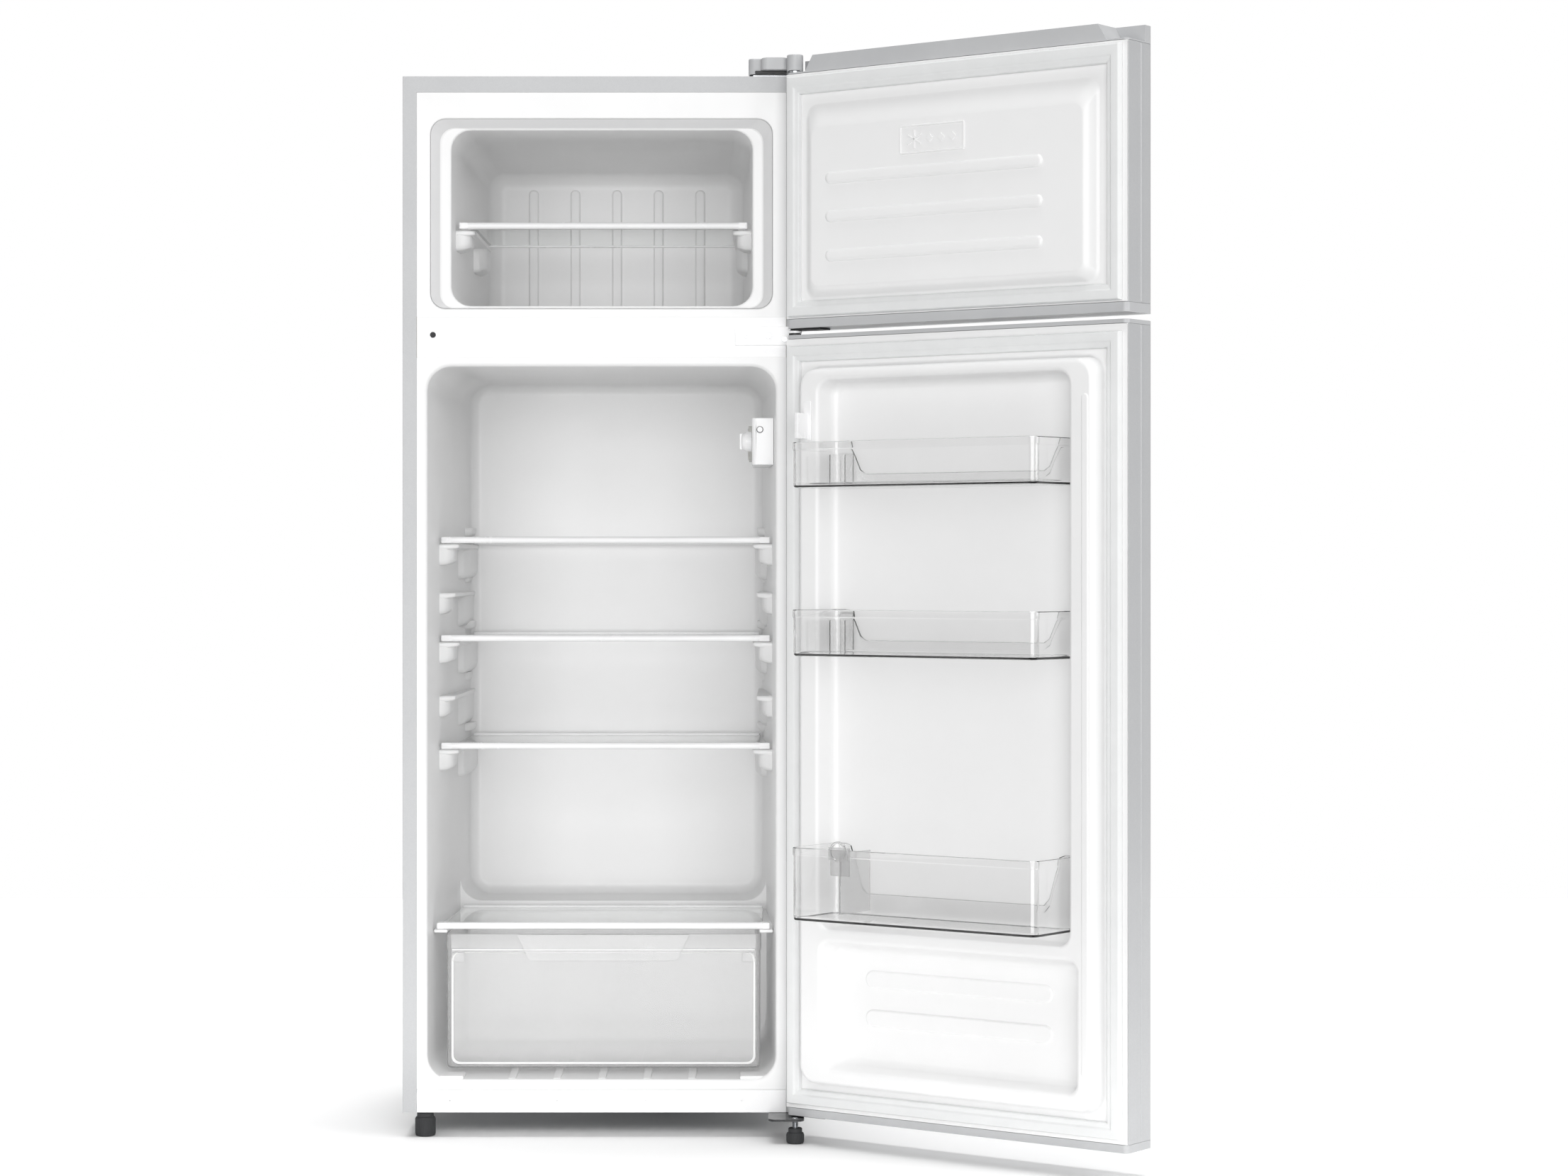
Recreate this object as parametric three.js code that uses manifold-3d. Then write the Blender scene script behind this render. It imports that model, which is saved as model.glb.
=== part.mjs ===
// Top freezer refrigerator with both doors standing open, built as separate bench parts.
// Units are millimetres. +X is to the right, +Y to the back, +Z up. The group's origin is the
// point where the front left foot meets the floor.
import * as THREE from 'three';
import { mergeVertices } from 'three/addons/utils/BufferGeometryUtils.js';
import Module from 'manifold-3d';

const wasm = await Module();
wasm.setup();

// ---------------------------------------------------------------- driving dimensions
const GAP = 0.3; // space left between pieces that touch
const STEEL = 1; // sheet thickness of the painted steel
const PLASTIC = 2; // wall of the vacuum-formed liners

const CABINET = { half: 269, depth: 490, bottom: 34, top: 1436, sideFlange: 19, topFlange: 22 };
const LINER_DEPTH = 440;
const FRAME_HALF = CABINET.half - CABINET.sideFlange - GAP;
const FRIDGE = { half: 235.5, backHalf: 216, low: 78.4, high: 1043, backLow: 80, backHigh: 1041, corner: 32 };
const FREEZER = { half: 204, backHalf: 188, low: 1122, high: 1364, backLow: 1124, backHigh: 1353, corner: 26 };
const SURROUND = { half: 231, high: 1378, depth: 8, stepHalf: 217, stepHigh: 1370, stepDepth: 16 };
const MULLION = { low: 1056, high: 1110, plugX: -228, plugZ: 1086 };
const RAIL_TOP = 65;
const HUMP = { front: 326, top: 290 }; // the rise in the liner over the compressor
const NICHE = { front: 360, top: 252 }; // the compressor space behind and below it

const HINGE = { x: 262, y: -22, pin: 4, bore: 5, open: 143.5 }; // the axis that both doors turn on
const DOOR = { hingeEdge: -6, freeEdge: 526, front: -50, back: 12, corner: 7 };
const FREEZER_DOOR = { low: 1092.5, faceLow: 1105, faceHigh: 1434, high: 1457 };
const FRIDGE_DOOR = { low: 35.5, faceLow: 46, faceHigh: 1078, high: 1083.5 };
const SEAL = { width: 20, face: 21.7 }; // gasket width and how far it reaches when the door is shut

const SHELF_TOPS = [814, 678, 529];
const SHELF = { half: 212, trimHalf: 220, front: 105, back: 432, glass: 4 };
const COVER = { half: 217, front: 45, back: 318, top: 286 };
const DRAWER = { half: 216, front: 50, back: 312, low: 86, high: 270, wall: 2.5, travel: 250 };
const FREEZER_SHELF = { half: 184, trimHalf: 197, front: 45, back: 330, top: 1243 };
const BALCONIES = [{ low: 875, high: 935 }, { low: 655, high: 716 }, { low: 309, high: 405 }];
const BALCONY = { hingeSide: 71.5, freeSide: 451.5, back: 7.5, front: 110, wall: 2.5 };

const FOOT = { x: -240, y: 18, pad: 14, stem: 4 };
const HINGE_FOOT = { x: 262, y: -47, pad: 12, stem: 4 };
const ROLLER = { x: 238, y: 452, radius: 16, width: 14, pin: 3 };
const CONDENSER = { y: 499, tube: 2.4, half: 225, low: 330, high: 1370, passes: 9 };

// ---------------------------------------------------------------- finishes
const finish = (color, roughness, metalness = 0) => ({ color, roughness, metalness });
const SILVER_STEEL = finish(0xb9bcbf, 0.38, 0.3);
const WHITE_PLASTIC = finish(0xf1f2f2, 0.35);
const GREY_PLASTIC = finish(0xb3b5b7, 0.45);
const GASKET_WHITE = finish(0xe6e7e7, 0.7);
const CLEAR_GLASS = finish(0xdde8e6, 0.05);
const CLEAR_PLASTIC = finish(0xe4eaec, 0.12);
const BLACK_RUBBER = finish(0x2c2d2e, 0.8);
const ZINC_STEEL = finish(0xa9abac, 0.4, 0.9);
const BLACK_STEEL = finish(0x1f2021, 0.5, 0.3);
const COPPER = finish(0xb0713f, 0.35, 1);
const FOAM = finish(0xe8d9a6, 0.9);

// ---------------------------------------------------------------- shapes and solids
const box = (x0, x1, y0, y1, z0, z1) =>
  new THREE.BoxGeometry(x1 - x0, y1 - y0, z1 - z0).translate((x0 + x1) / 2, (y0 + y1) / 2, (z0 + z1) / 2);

function solid(geometry) {
  const bare = geometry.clone();
  bare.deleteAttribute('normal');
  bare.deleteAttribute('uv');
  const merged = mergeVertices(bare, 1e-4);
  return new wasm.Manifold(new wasm.Mesh({
    numProp: 3,
    vertProperties: new Float32Array(merged.attributes.position.array),
    triVerts: new Uint32Array(merged.index.array),
  }));
}

function geometryOf(manifold) {
  const mesh = manifold.getMesh();
  const geometry = new THREE.BufferGeometry();
  geometry.setAttribute('position', new THREE.BufferAttribute(mesh.vertProperties, 3));
  geometry.setIndex(new THREE.BufferAttribute(mesh.triVerts, 1));
  geometry.computeVertexNormals();
  return geometry;
}

const block = (...sides) => solid(box(...sides));
const join = (first, ...rest) => rest.reduce((whole, piece) => whole.add(piece), first);
const cut = (first, ...rest) => rest.reduce((whole, piece) => whole.subtract(piece), first);

// A rectangle with round corners, drawn from its low corner to its high corner.
function roundRect(x0, x1, y0, y1, r) {
  const shape = new THREE.Shape();
  shape.moveTo(x0 + r, y0);
  shape.lineTo(x1 - r, y0);
  shape.absarc(x1 - r, y0 + r, r, -Math.PI / 2, 0);
  shape.lineTo(x1, y1 - r);
  shape.absarc(x1 - r, y1 - r, r, 0, Math.PI / 2);
  shape.lineTo(x0 + r, y1);
  shape.absarc(x0 + r, y1 - r, r, Math.PI / 2, Math.PI);
  shape.lineTo(x0, y0 + r);
  shape.absarc(x0 + r, y0 + r, r, Math.PI, 1.5 * Math.PI);
  return shape;
}

const outline = (...points) => new THREE.Shape(points.map(([x, y]) => new THREE.Vector2(x, y)));

// A shape drawn in X and Z, drawn out along Y.
function alongY(shape, y0, y1, curveSegments = 4) {
  const settings = { depth: y1 - y0, bevelEnabled: false, curveSegments };
  return new THREE.ExtrudeGeometry(shape, settings).rotateX(Math.PI / 2).translate(0, y1, 0);
}

// A shape drawn in X and Y, drawn out along Z.
function alongZ(shape, z0, z1, curveSegments = 4) {
  const settings = { depth: z1 - z0, bevelEnabled: false, curveSegments };
  return new THREE.ExtrudeGeometry(shape, settings).translate(0, 0, z0);
}

// A block along Y whose outline, [x0, x1, z0, z1], changes evenly from its front to its back.
function tapered(front, back, y0, y1, r) {
  const geometry = alongY(roundRect(...front, r), y0, y1);
  const position = geometry.attributes.position;
  for (let i = 0; i < position.count; i += 1) {
    const t = (position.getY(i) - y0) / (y1 - y0);
    const side = (a, b, value) => {
      const lowEnd = front[a] + (back[a] - front[a]) * t;
      const highEnd = front[b] + (back[b] - front[b]) * t;
      return lowEnd + (highEnd - lowEnd) * (value - front[a]) / (front[b] - front[a]);
    };
    position.setX(i, side(0, 1, position.getX(i)));
    position.setZ(i, side(2, 3, position.getZ(i)));
  }
  return solid(geometry);
}

const upright = (x, y, r, z0, z1, sides = 16) =>
  solid(new THREE.CylinderGeometry(r, r, z1 - z0, sides).rotateX(Math.PI / 2).translate(x, y, (z0 + z1) / 2));
const acrossX = (x0, x1, y, z, r, sides = 16) =>
  solid(new THREE.CylinderGeometry(r, r, x1 - x0, sides).rotateZ(Math.PI / 2).translate((x0 + x1) / 2, y, z));
const acrossY = (x, y0, y1, z, r, sides = 16) =>
  solid(new THREE.CylinderGeometry(r, r, y1 - y0, sides).translate(x, (y0 + y1) / 2, z));

function tubeAlong(points, r, steps, halfSides) {
  const section = new THREE.Shape().absarc(0, 0, r, 0, 2 * Math.PI);
  const path = new THREE.CatmullRomCurve3(points.map((p) => new THREE.Vector3(...p)), false, 'centripetal');
  return new THREE.ExtrudeGeometry(section, { steps, extrudePath: path, curveSegments: halfSides });
}

const refrigerator = new THREE.Group();
refrigerator.position.set(-FOOT.x, -FOOT.y, 0);

function place(name, shape, look, parent = refrigerator) {
  const geometry = shape instanceof THREE.BufferGeometry ? shape : geometryOf(shape);
  const mesh = new THREE.Mesh(geometry, new THREE.MeshStandardMaterial(look));
  mesh.name = name;
  parent.add(mesh);
  return mesh;
}

// ---------------------------------------------------------------- cabinet liners
// The room inside each liner, grown by g on every side for the wall behind it.
function fridgeRoom(g, y0, y1) {
  const front = [-FRIDGE.half - g, FRIDGE.half + g, FRIDGE.low - g, FRIDGE.high + g];
  const back = [-FRIDGE.backHalf - g, FRIDGE.backHalf + g, FRIDGE.backLow - g, FRIDGE.backHigh + g];
  const room = tapered(front, back, y0, y1, FRIDGE.corner + g);
  return cut(room, block(-300, 300, HUMP.front + g, 500, 0, HUMP.top - g));
}

function freezerRoom(g, y0, y1) {
  const front = [-FREEZER.half - g, FREEZER.half + g, FREEZER.low - g, FREEZER.high + g];
  const back = [-FREEZER.backHalf - g, FREEZER.backHalf + g, FREEZER.backLow - g, FREEZER.backHigh + g];
  return tapered(front, back, y0, y1, FREEZER.corner + g);
}

// The two steps of the freezer's mouth, in which the door's raised panel lies.
function freezerSteps(g, y0) {
  const step = (half, high, depth, r) =>
    solid(alongY(roundRect(-half - g, half + g, FREEZER.low - g, high + g, r), y0, depth + g));
  return join(
    step(SURROUND.half, SURROUND.high, SURROUND.depth, 20),
    step(SURROUND.stepHalf, SURROUND.stepHigh, SURROUND.stepDepth, 22),
  );
}

// A ledge on both side walls that carries a shelf.
function ledges(inner, y0, y1, z0, z1, wall) {
  const left = block(-300, -inner, y0, y1, z0, z1);
  const right = block(inner, 300, y0, y1, z0, z1);
  return join(left, right).intersect(wall);
}

function fridgeLiner() {
  const wall = fridgeRoom(PLASTIC, 0, LINER_DEPTH + PLASTIC);
  const flange = block(-FRAME_HALF, FRAME_HALF, 0, PLASTIC, RAIL_TOP + GAP, MULLION.low - GAP);
  let liner = join(wall, flange).subtract(fridgeRoom(0, -1, LINER_DEPTH));
  for (const top of SHELF_TOPS) {
    liner = liner.add(ledges(203, SHELF.front + 8, SHELF.back, top - 18, top - 9.3, wall));
  }
  liner = liner.add(ledges(213, COVER.front + 6, COVER.back, COVER.top - 14.5, COVER.top - 9.3, wall));
  for (let rib = -2; rib <= 2; rib += 1) {
    const x = rib * 61;
    liner = liner.add(block(x - 6, x + 6, 14, 300, FRIDGE.low - 1, DRAWER.low - GAP));
  }
  return liner;
}

function freezerLiner() {
  const wall = join(freezerRoom(PLASTIC, 0, LINER_DEPTH + PLASTIC), freezerSteps(PLASTIC, 0));
  const flangeTop = CABINET.top - CABINET.topFlange - GAP;
  const flange = block(-FRAME_HALF, FRAME_HALF, 0, PLASTIC, MULLION.high + GAP, flangeTop);
  let liner = cut(join(wall, flange), freezerRoom(0, -1, LINER_DEPTH), freezerSteps(0, -1));
  const { front, back, top } = FREEZER_SHELF;
  liner = liner.add(ledges(176, front + 10, back, top - 18, top - 9.3, wall));
  for (let rib = -2; rib <= 2; rib += 1) {
    const x = rib * 61.5;
    liner = liner.add(block(x - 7.5, x + 7.5, LINER_DEPTH - 5, LINER_DEPTH + 1, 1142, 1330));
  }
  return liner;
}

// The foam fills what is left between the steel case and the liners.
function cabinetFoam() {
  const inside = CABINET.half - STEEL - GAP;
  const behind = PLASTIC + GAP;
  return cut(
    block(-inside, inside, PLASTIC + GAP, CABINET.depth - 3 - GAP, RAIL_TOP + 1.3, CABINET.top - STEEL - GAP),
    fridgeRoom(behind, 0, LINER_DEPTH + behind),
    freezerRoom(behind, 0, LINER_DEPTH + behind),
    freezerSteps(behind, 0),
    block(-300, 300, NICHE.front - GAP, 500, 0, NICHE.top + GAP),
  );
}

place('fridge_liner', fridgeLiner(), WHITE_PLASTIC);
place('freezer_liner', freezerLiner(), WHITE_PLASTIC);
place('cabinet_foam', cabinetFoam(), FOAM);

// ---------------------------------------------------------------- case
function caseWrapper() {
  const { half, depth, bottom, top, sideFlange, topFlange } = CABINET;
  return cut(
    block(-half, half, 0, depth, bottom, top),
    block(-half + STEEL, half - STEEL, STEEL, depth + 1, bottom - 1, top - STEEL),
    block(-half + sideFlange, half - sideFlange, -1, STEEL + 1, bottom - 1, top - topFlange),
  );
}

function steppedDeck() {
  const x = CABINET.half - STEEL - GAP;
  const low = RAIL_TOP;
  const profile = outline(
    [PLASTIC + GAP, low], [NICHE.front + 1, low], [NICHE.front + 1, NICHE.top - 1],
    [CABINET.depth - 4, NICHE.top - 1], [CABINET.depth - 4, NICHE.top], [NICHE.front, NICHE.top],
    [NICHE.front, low + 1], [PLASTIC + GAP, low + 1],
  );
  const geometry = alongZ(profile, -x, x);
  // the profile's own X and Y become Y and Z
  return geometry.applyMatrix4(new THREE.Matrix4().set(0, 0, 1, 0, 1, 0, 0, 0, 0, 1, 0, 0, 0, 0, 0, 1));
}

function frontRail() {
  const x = CABINET.half - CABINET.sideFlange - GAP;
  const { bottom } = CABINET;
  return cut(
    join(
      block(-x, x, 0, 1.5, bottom, RAIL_TOP - GAP),
      block(-x - 17, x + 17, 1.3, 62, bottom, bottom + 2),
    ),
    upright(FOOT.x, FOOT.y, FOOT.stem + 0.5, bottom - 1, bottom + 3),
  );
}

place('case_wrapper', caseWrapper(), SILVER_STEEL);
place('back_panel', cut(
  block(-267.7, 267.7, CABINET.depth - 3, CABINET.depth - 2, NICHE.top + GAP, CABINET.top - STEEL - GAP),
  acrossY(-150, 480, 500, 300, 6, 12),
), ZINC_STEEL);
place('stepped_deck', steppedDeck(), ZINC_STEEL);
place('front_rail', frontRail(), WHITE_PLASTIC);
place('compressor_tray', block(-267.7, 267.7, NICHE.front + 2, CABINET.depth - 4, 40, 42), ZINC_STEEL);
place('mullion_strip', cut(
  block(-FRAME_HALF, FRAME_HALF, 0, PLASTIC, MULLION.low, MULLION.high),
  acrossY(MULLION.plugX, -1, 3, MULLION.plugZ, 2.8, 12),
), WHITE_PLASTIC);
place('mullion_plug', join(
  acrossY(MULLION.plugX, -0.3, 1.9, MULLION.plugZ, 2.4, 12),
  acrossY(MULLION.plugX, -1.5, -0.3, MULLION.plugZ, 4, 12),
), BLACK_RUBBER);

// ---------------------------------------------------------------- hinges, feet and rollers
// The arm of a hinge, which ends round about the pin.
function arm(half, back, z0, z1) {
  return join(
    upright(HINGE.x, HINGE.y, half, z0, z1, 20),
    block(HINGE.x - half, HINGE.x + half, HINGE.y, back, z0, z1),
  );
}

function topHinge() {
  const z = CABINET.top + GAP;
  return join(
    block(205, 266, 12, 70, z, z + 3),
    cut(arm(10, 14, z, z + 3), block(0, 300, 14, 90, z - 1, z + 4)),
    upright(HINGE.x, HINGE.y, HINGE.pin, FREEZER_DOOR.faceHigh - 12, z + 1),
  );
}

function topHingeCover() {
  const low = CABINET.top + 3 + 2 * GAP;
  const shell = (half, z1) => join(
    arm(half, 20, low, z1),
    solid(alongZ(roundRect(199 + 11 - half, HINGE.x + half - 4, 8 + 11 - half, 65 + half, 8), low, z1)),
  );
  return cut(shell(11, 1461), shell(9, 1459).translate([0, 0, -0.5]));
}

function middleHinge() {
  const [z0, z1] = [1086.5, 1089.5];
  const plate = cut(
    block(181, 267, -3.3, -GAP, 1072, 1097),
    acrossY(197, -4, 1, 1084.5, 2.6, 12),
    acrossY(226, -4, 1, 1084.5, 2.6, 12),
  );
  return join(
    plate,
    arm(9, -2, z0, z1),
    upright(HINGE.x, HINGE.y, HINGE.pin, 1074, 1102),
  );
}

function bottomHinge() {
  const [z0, z1] = [CABINET.bottom - GAP - 3, CABINET.bottom - GAP];
  const plate = solid(alongZ(roundRect(226, 274, HINGE_FOOT.y - 13, 58, 10), z0, z1));
  return cut(
    join(plate, upright(HINGE.x, HINGE.y, HINGE.pin, z0, FRIDGE_DOOR.low + 9)),
    upright(HINGE_FOOT.x, HINGE_FOOT.y, HINGE_FOOT.stem + 0.5, z0 - 1, z1 + 1),
  );
}

// A levelling foot: a rubber-capped pad, a collar and the threaded stem.
function levellingFoot({ x, y, pad, stem }, padTop, stemTop) {
  const points = [
    [0, 0], [pad - 3, 0], [pad, 3], [pad, padTop - 7], [pad - 2.5, padTop - 5.5],
    [pad - 2.5, padTop], [stem, padTop], [stem, stemTop], [0, stemTop],
  ].map(([r, z]) => new THREE.Vector2(r, z));
  return new THREE.LatheGeometry(points, 20).rotateX(Math.PI / 2).translate(x, y, 0);
}

function rollerBracket(side) {
  const x = side * ROLLER.x;
  const plateLow = 36.7;
  const cheek = (offset) => block(x + offset - 1.2, x + offset + 1.2, ROLLER.y - 12, ROLLER.y + 12, 8, plateLow + 1);
  return join(
    block(x - 14, x + 14, ROLLER.y - 20, ROLLER.y + 20, plateLow, 39.7),
    cheek(-10),
    cheek(10),
    acrossX(x - 12, x + 12, ROLLER.y, ROLLER.radius, ROLLER.pin, 12),
  );
}

function roller(side) {
  const x = side * ROLLER.x;
  const half = ROLLER.width / 2;
  return cut(
    acrossX(x - half, x + half, ROLLER.y, ROLLER.radius, ROLLER.radius, 28),
    acrossX(x - half - 1, x + half + 1, ROLLER.y, ROLLER.radius, ROLLER.pin + 0.4, 12),
  );
}

place('top_hinge', topHinge(), ZINC_STEEL);
place('top_hinge_cover', topHingeCover(), GREY_PLASTIC);
place('middle_hinge', middleHinge(), ZINC_STEEL);
place('bottom_hinge', bottomHinge(), BLACK_STEEL);
place('front_left_foot', levellingFoot(FOOT, 32, 50), BLACK_RUBBER);
place('front_right_foot', levellingFoot(HINGE_FOOT, 21, 34.5), BLACK_RUBBER);
for (const [name, side] of [['left', -1], ['right', 1]]) {
  place(`rear_roller_bracket_${name}`, rollerBracket(side), ZINC_STEEL);
  place(`rear_roller_${name}`, roller(side), BLACK_RUBBER);
}

// ---------------------------------------------------------------- shelves and drawer
// A glass shelf whose front edge is held in a grooved trim.
function glassShelf(name, { half, trimHalf, front, back }, top) {
  const low = top - 5.5;
  const glass = block(-half, half, front + 4, back, low - SHELF.glass / 2, low + SHELF.glass / 2);
  const trim = cut(
    solid(alongY(roundRect(-trimHalf, trimHalf, top - 9, top, 2.5), front, front + 15, 2)),
    block(-half - GAP, half + GAP, front + 4 - GAP, front + 20, low - 2 - GAP, low + 2 + GAP),
  );
  place(`${name}_glass`, glass, CLEAR_GLASS);
  place(`${name}_trim`, trim, WHITE_PLASTIC);
}

SHELF_TOPS.forEach((top, i) => glassShelf(`shelf_${i + 1}`, SHELF, top));
glassShelf('crisper_cover', { half: COVER.half, trimHalf: 221, front: COVER.front, back: COVER.back }, COVER.top);
glassShelf('freezer_shelf', FREEZER_SHELF, FREEZER_SHELF.top);

function crisperDrawer() {
  const { half, front, back, low, high, wall } = DRAWER;
  const tub = (g, z0) => tapered(
    [-half + g, half - g, z0, high + (g ? 1 : 0)],
    [-half + 4 + g, half - 4 - g, z0, high + (g ? 1 : 0)],
    front + g, back - g, 10,
  );
  const grip = outline([-118, high], [-104, high - 36], [104, high - 36], [118, high]);
  const gripPlate = solid(alongY(grip, front - 7, front + 1));
  const gripScoop = solid(alongY(outline([-112, high - 5], [-100, high - 37], [100, high - 37], [112, high - 5]),
    front - 4.5, front + 0.5));
  // the corner arcs at the rim are squared off, so that the drawer's mouth is one clean rectangle
  const rim = block(-half + 1, half - 1, front, back, high - 12, high);
  const mouth = block(-half + 5 + wall, half - 5 - wall, front + wall, back - wall, high - 14, high + 1);
  const body = cut(join(tub(0, low), rim), tub(wall, low + wall), mouth);
  return join(body, gripPlate).subtract(gripScoop);
}
place('crisper_drawer', crisperDrawer(), CLEAR_PLASTIC);

// ---------------------------------------------------------------- thermostat and lamp
const CONTROL = { inner: 203, front: 52, back: 215, low: 912, high: 976, knobY: 92, knobZ: 945, lampY: 168 };

function thermostatHousing() {
  const { inner, front, back, low, high, lampY } = CONTROL;
  const body = solid(alongZ(roundRect(inner, 300, front, back, 6), low, high, 3));
  return cut(
    body.intersect(fridgeRoom(-GAP, 0, LINER_DEPTH)),
    block(inner - 1, inner + 15, lampY - 36, lampY + 36, low + 10, high - 10),
    acrossY(inner + 11, front - 1, front + 14, 960, 4.5, 12),
    acrossX(inner - 1, inner + 9, CONTROL.knobY, CONTROL.knobZ, 4, 12),
  );
}

function thermostatKnob() {
  const { inner, knobY, knobZ } = CONTROL;
  const dial = new THREE.LatheGeometry(
    [[0, 0], [13.5, 0], [13.5, 9], [11.5, 14], [0, 15]].map(([r, h]) => new THREE.Vector2(r, h)), 24);
  dial.rotateZ(Math.PI / 2).translate(inner - GAP, knobY, knobZ);
  return join(
    solid(dial),
    acrossX(inner - 2, inner + 7, knobY, knobZ, 3.4, 12),
    block(inner - 17.5, inner - 14, knobY - 2, knobY + 2, knobZ - 11, knobZ + 11),
  );
}

function lampBulb() {
  const { inner, lampY, low, high } = CONTROL;
  const z = (low + high) / 2;
  const profile = [[0, 0], [5, 0], [5, 14], [7, 18], [7, 34], [5, 40], [0, 43]];
  return new THREE.LatheGeometry(profile.map(([r, h]) => new THREE.Vector2(r, h)), 16)
    .translate(inner + 7, lampY - 30, z);
}

place('thermostat_housing', thermostatHousing(), WHITE_PLASTIC);
place('thermostat_knob', thermostatKnob(), WHITE_PLASTIC);
place('lamp_bulb', lampBulb(), CLEAR_GLASS);
place('lamp_cover', solid(alongZ(roundRect(CONTROL.inner - 5, CONTROL.inner - GAP,
  CONTROL.lampY - 38, CONTROL.lampY + 38, 2), CONTROL.low + 8, CONTROL.high - 8, 2)), CLEAR_PLASTIC);
place('lamp_switch', join(
  acrossY(CONTROL.inner + 11, CONTROL.front - 8, CONTROL.front + 6, 960, 3.8, 12),
), WHITE_PLASTIC);

// ---------------------------------------------------------------- doors
// A door is drawn shut, about its hinge axis. Its own u runs from the axis to the free edge,
// towards -X, and its n runs towards the cabinet. The group then swings it open.
function doorGroup() {
  const group = new THREE.Group();
  group.position.set(HINGE.x, HINGE.y, 0);
  group.rotation.z = THREE.MathUtils.degToRad(HINGE.open);
  refrigerator.add(group);
  return group;
}

const panel = (u0, u1, n0, n1, z0, z1) => block(-u1, -u0, n0, n1, z0, z1);

// A pressing in a door liner. Its outline, [u0, u1, z0, z1], changes evenly from its foot at
// n = foot[0] to its face at n = face[0]. The function it returns cuts out the stretch from n0
// to n1, grown by g on every side.
function pressing(foot, face, r) {
  const outlineAt = (n, g) => {
    const t = (n - foot[0]) / (face[0] - foot[0]);
    const [u0, u1, z0, z1] = foot[1].map((value, i) => value + (face[1][i] - value) * t);
    return [-u1 - g, -u0 + g, z0 - g, z1 + g];
  };
  return (g, n0, n1) => tapered(outlineAt(n0, g), outlineAt(n1, g), n0, n1, r + g);
}
const obround = (u0, u1, z0, z1, n0, n1) =>
  solid(alongY(roundRect(-u1, -u0, z0, z1, (z1 - z0) / 2 - 0.01), n0, n1, 4));

// The folded steel front and sides, open towards the inner liner and at both ends.
function doorSkin({ faceLow, faceHigh }) {
  const { hingeEdge, freeEdge, front, back, corner } = DOOR;
  const face = back - PLASTIC - GAP;
  const outer = alongZ(roundRect(-freeEdge, -hingeEdge, front, face + corner, corner), faceLow, faceHigh);
  const inner = alongZ(roundRect(-freeEdge + STEEL, -hingeEdge - STEEL, front + STEEL, face + corner - STEEL,
    corner - STEEL), faceLow - 1, faceHigh + 1);
  return join(
    cut(solid(outer), solid(inner), panel(-50, 600, face, 60, faceLow - 1, faceHigh + 1)),
    panel(hingeEdge, hingeEdge + 9, face - STEEL, face, faceLow, faceHigh),
    panel(freeEdge - 9, freeEdge, face - STEEL, face, faceLow, faceHigh),
  );
}

// An end cap, which plugs into the skin and carries the bush that turns on the hinge pin.
function endCap(plug, visible, notched) {
  const { hingeEdge, freeEdge, front, back, corner } = DOOR;
  const inset = STEEL + GAP;
  const body = join(
    solid(alongZ(roundRect(-freeEdge, -hingeEdge, front, back, corner), ...visible)),
    panel(hingeEdge + inset, freeEdge - inset, front + 6, back - PLASTIC - 2, ...plug),
  );
  const ends = [...plug, ...visible];
  const bored = cut(body, upright(0, 0, HINGE.bore, Math.min(...ends) - 1, Math.max(...ends) + 1));
  if (!notched) return bored;
  const floor = visible[0] + 1.8;
  const notch = (sign, edge) => solid(alongY(outline(
    [-edge - sign * 3, floor], [-edge + sign * 31, floor], [-edge + sign * 44, visible[1] + 1],
    [-edge - sign * 3, visible[1] + 1]), -31, back + 1));
  return cut(bored, notch(-1, hingeEdge), notch(1, freeEdge));
}

function gasket(z0, z1, low, high) {
  const width = SEAL.width;
  return cut(
    panel(0, 519, DOOR.back + GAP, SEAL.face, z0, z1),
    panel(width, 519 - width, DOOR.back - 1, SEAL.face + 1, z0 + low, z1 - high),
  );
}

const face = ({ faceLow, faceHigh }, n0, n1, inset) =>
  panel(DOOR.hingeEdge + inset, DOOR.freeEdge - inset, n0, n1, faceLow + GAP, faceHigh - GAP);

// -- freezer door
const freezerPanel = pressing([12, [30, 484, 1131, 1388]], [26, [42, 472, 1142, 1361]], 16);

function freezerDoorLiner() {
  let liner = cut(
    join(face(FREEZER_DOOR, 10, 12, 0.5), freezerPanel(0, 11, 26)),
    freezerPanel(-2.5, 9, 24),
  );
  for (const z of [1288.5, 1237.5, 1185.5]) {
    liner = liner.add(obround(69, 410, z - 8.5, z + 8.5, 25, 29));
  }
  return liner.add(obround(189, 291, 1311, 1349, 25, 27));
}

function doorFoam({ faceLow, faceHigh }, capDepths, extra, removed) {
  const { hingeEdge, freeEdge, front, back } = DOOR;
  const inset = STEEL + 2 * GAP;
  const slab = join(
    solid(alongZ(roundRect(-freeEdge + inset, -hingeEdge - inset, front + inset, 0, DOOR.corner - inset),
      faceLow + capDepths[0], faceHigh - capDepths[1])),
    panel(hingeEdge + inset, freeEdge - inset, -20, back - PLASTIC - STEEL - 2 * GAP,
      faceLow + capDepths[0], faceHigh - capDepths[1]),
  );
  return removed ? cut(join(slab, extra), removed) : join(slab, extra);
}

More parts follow.
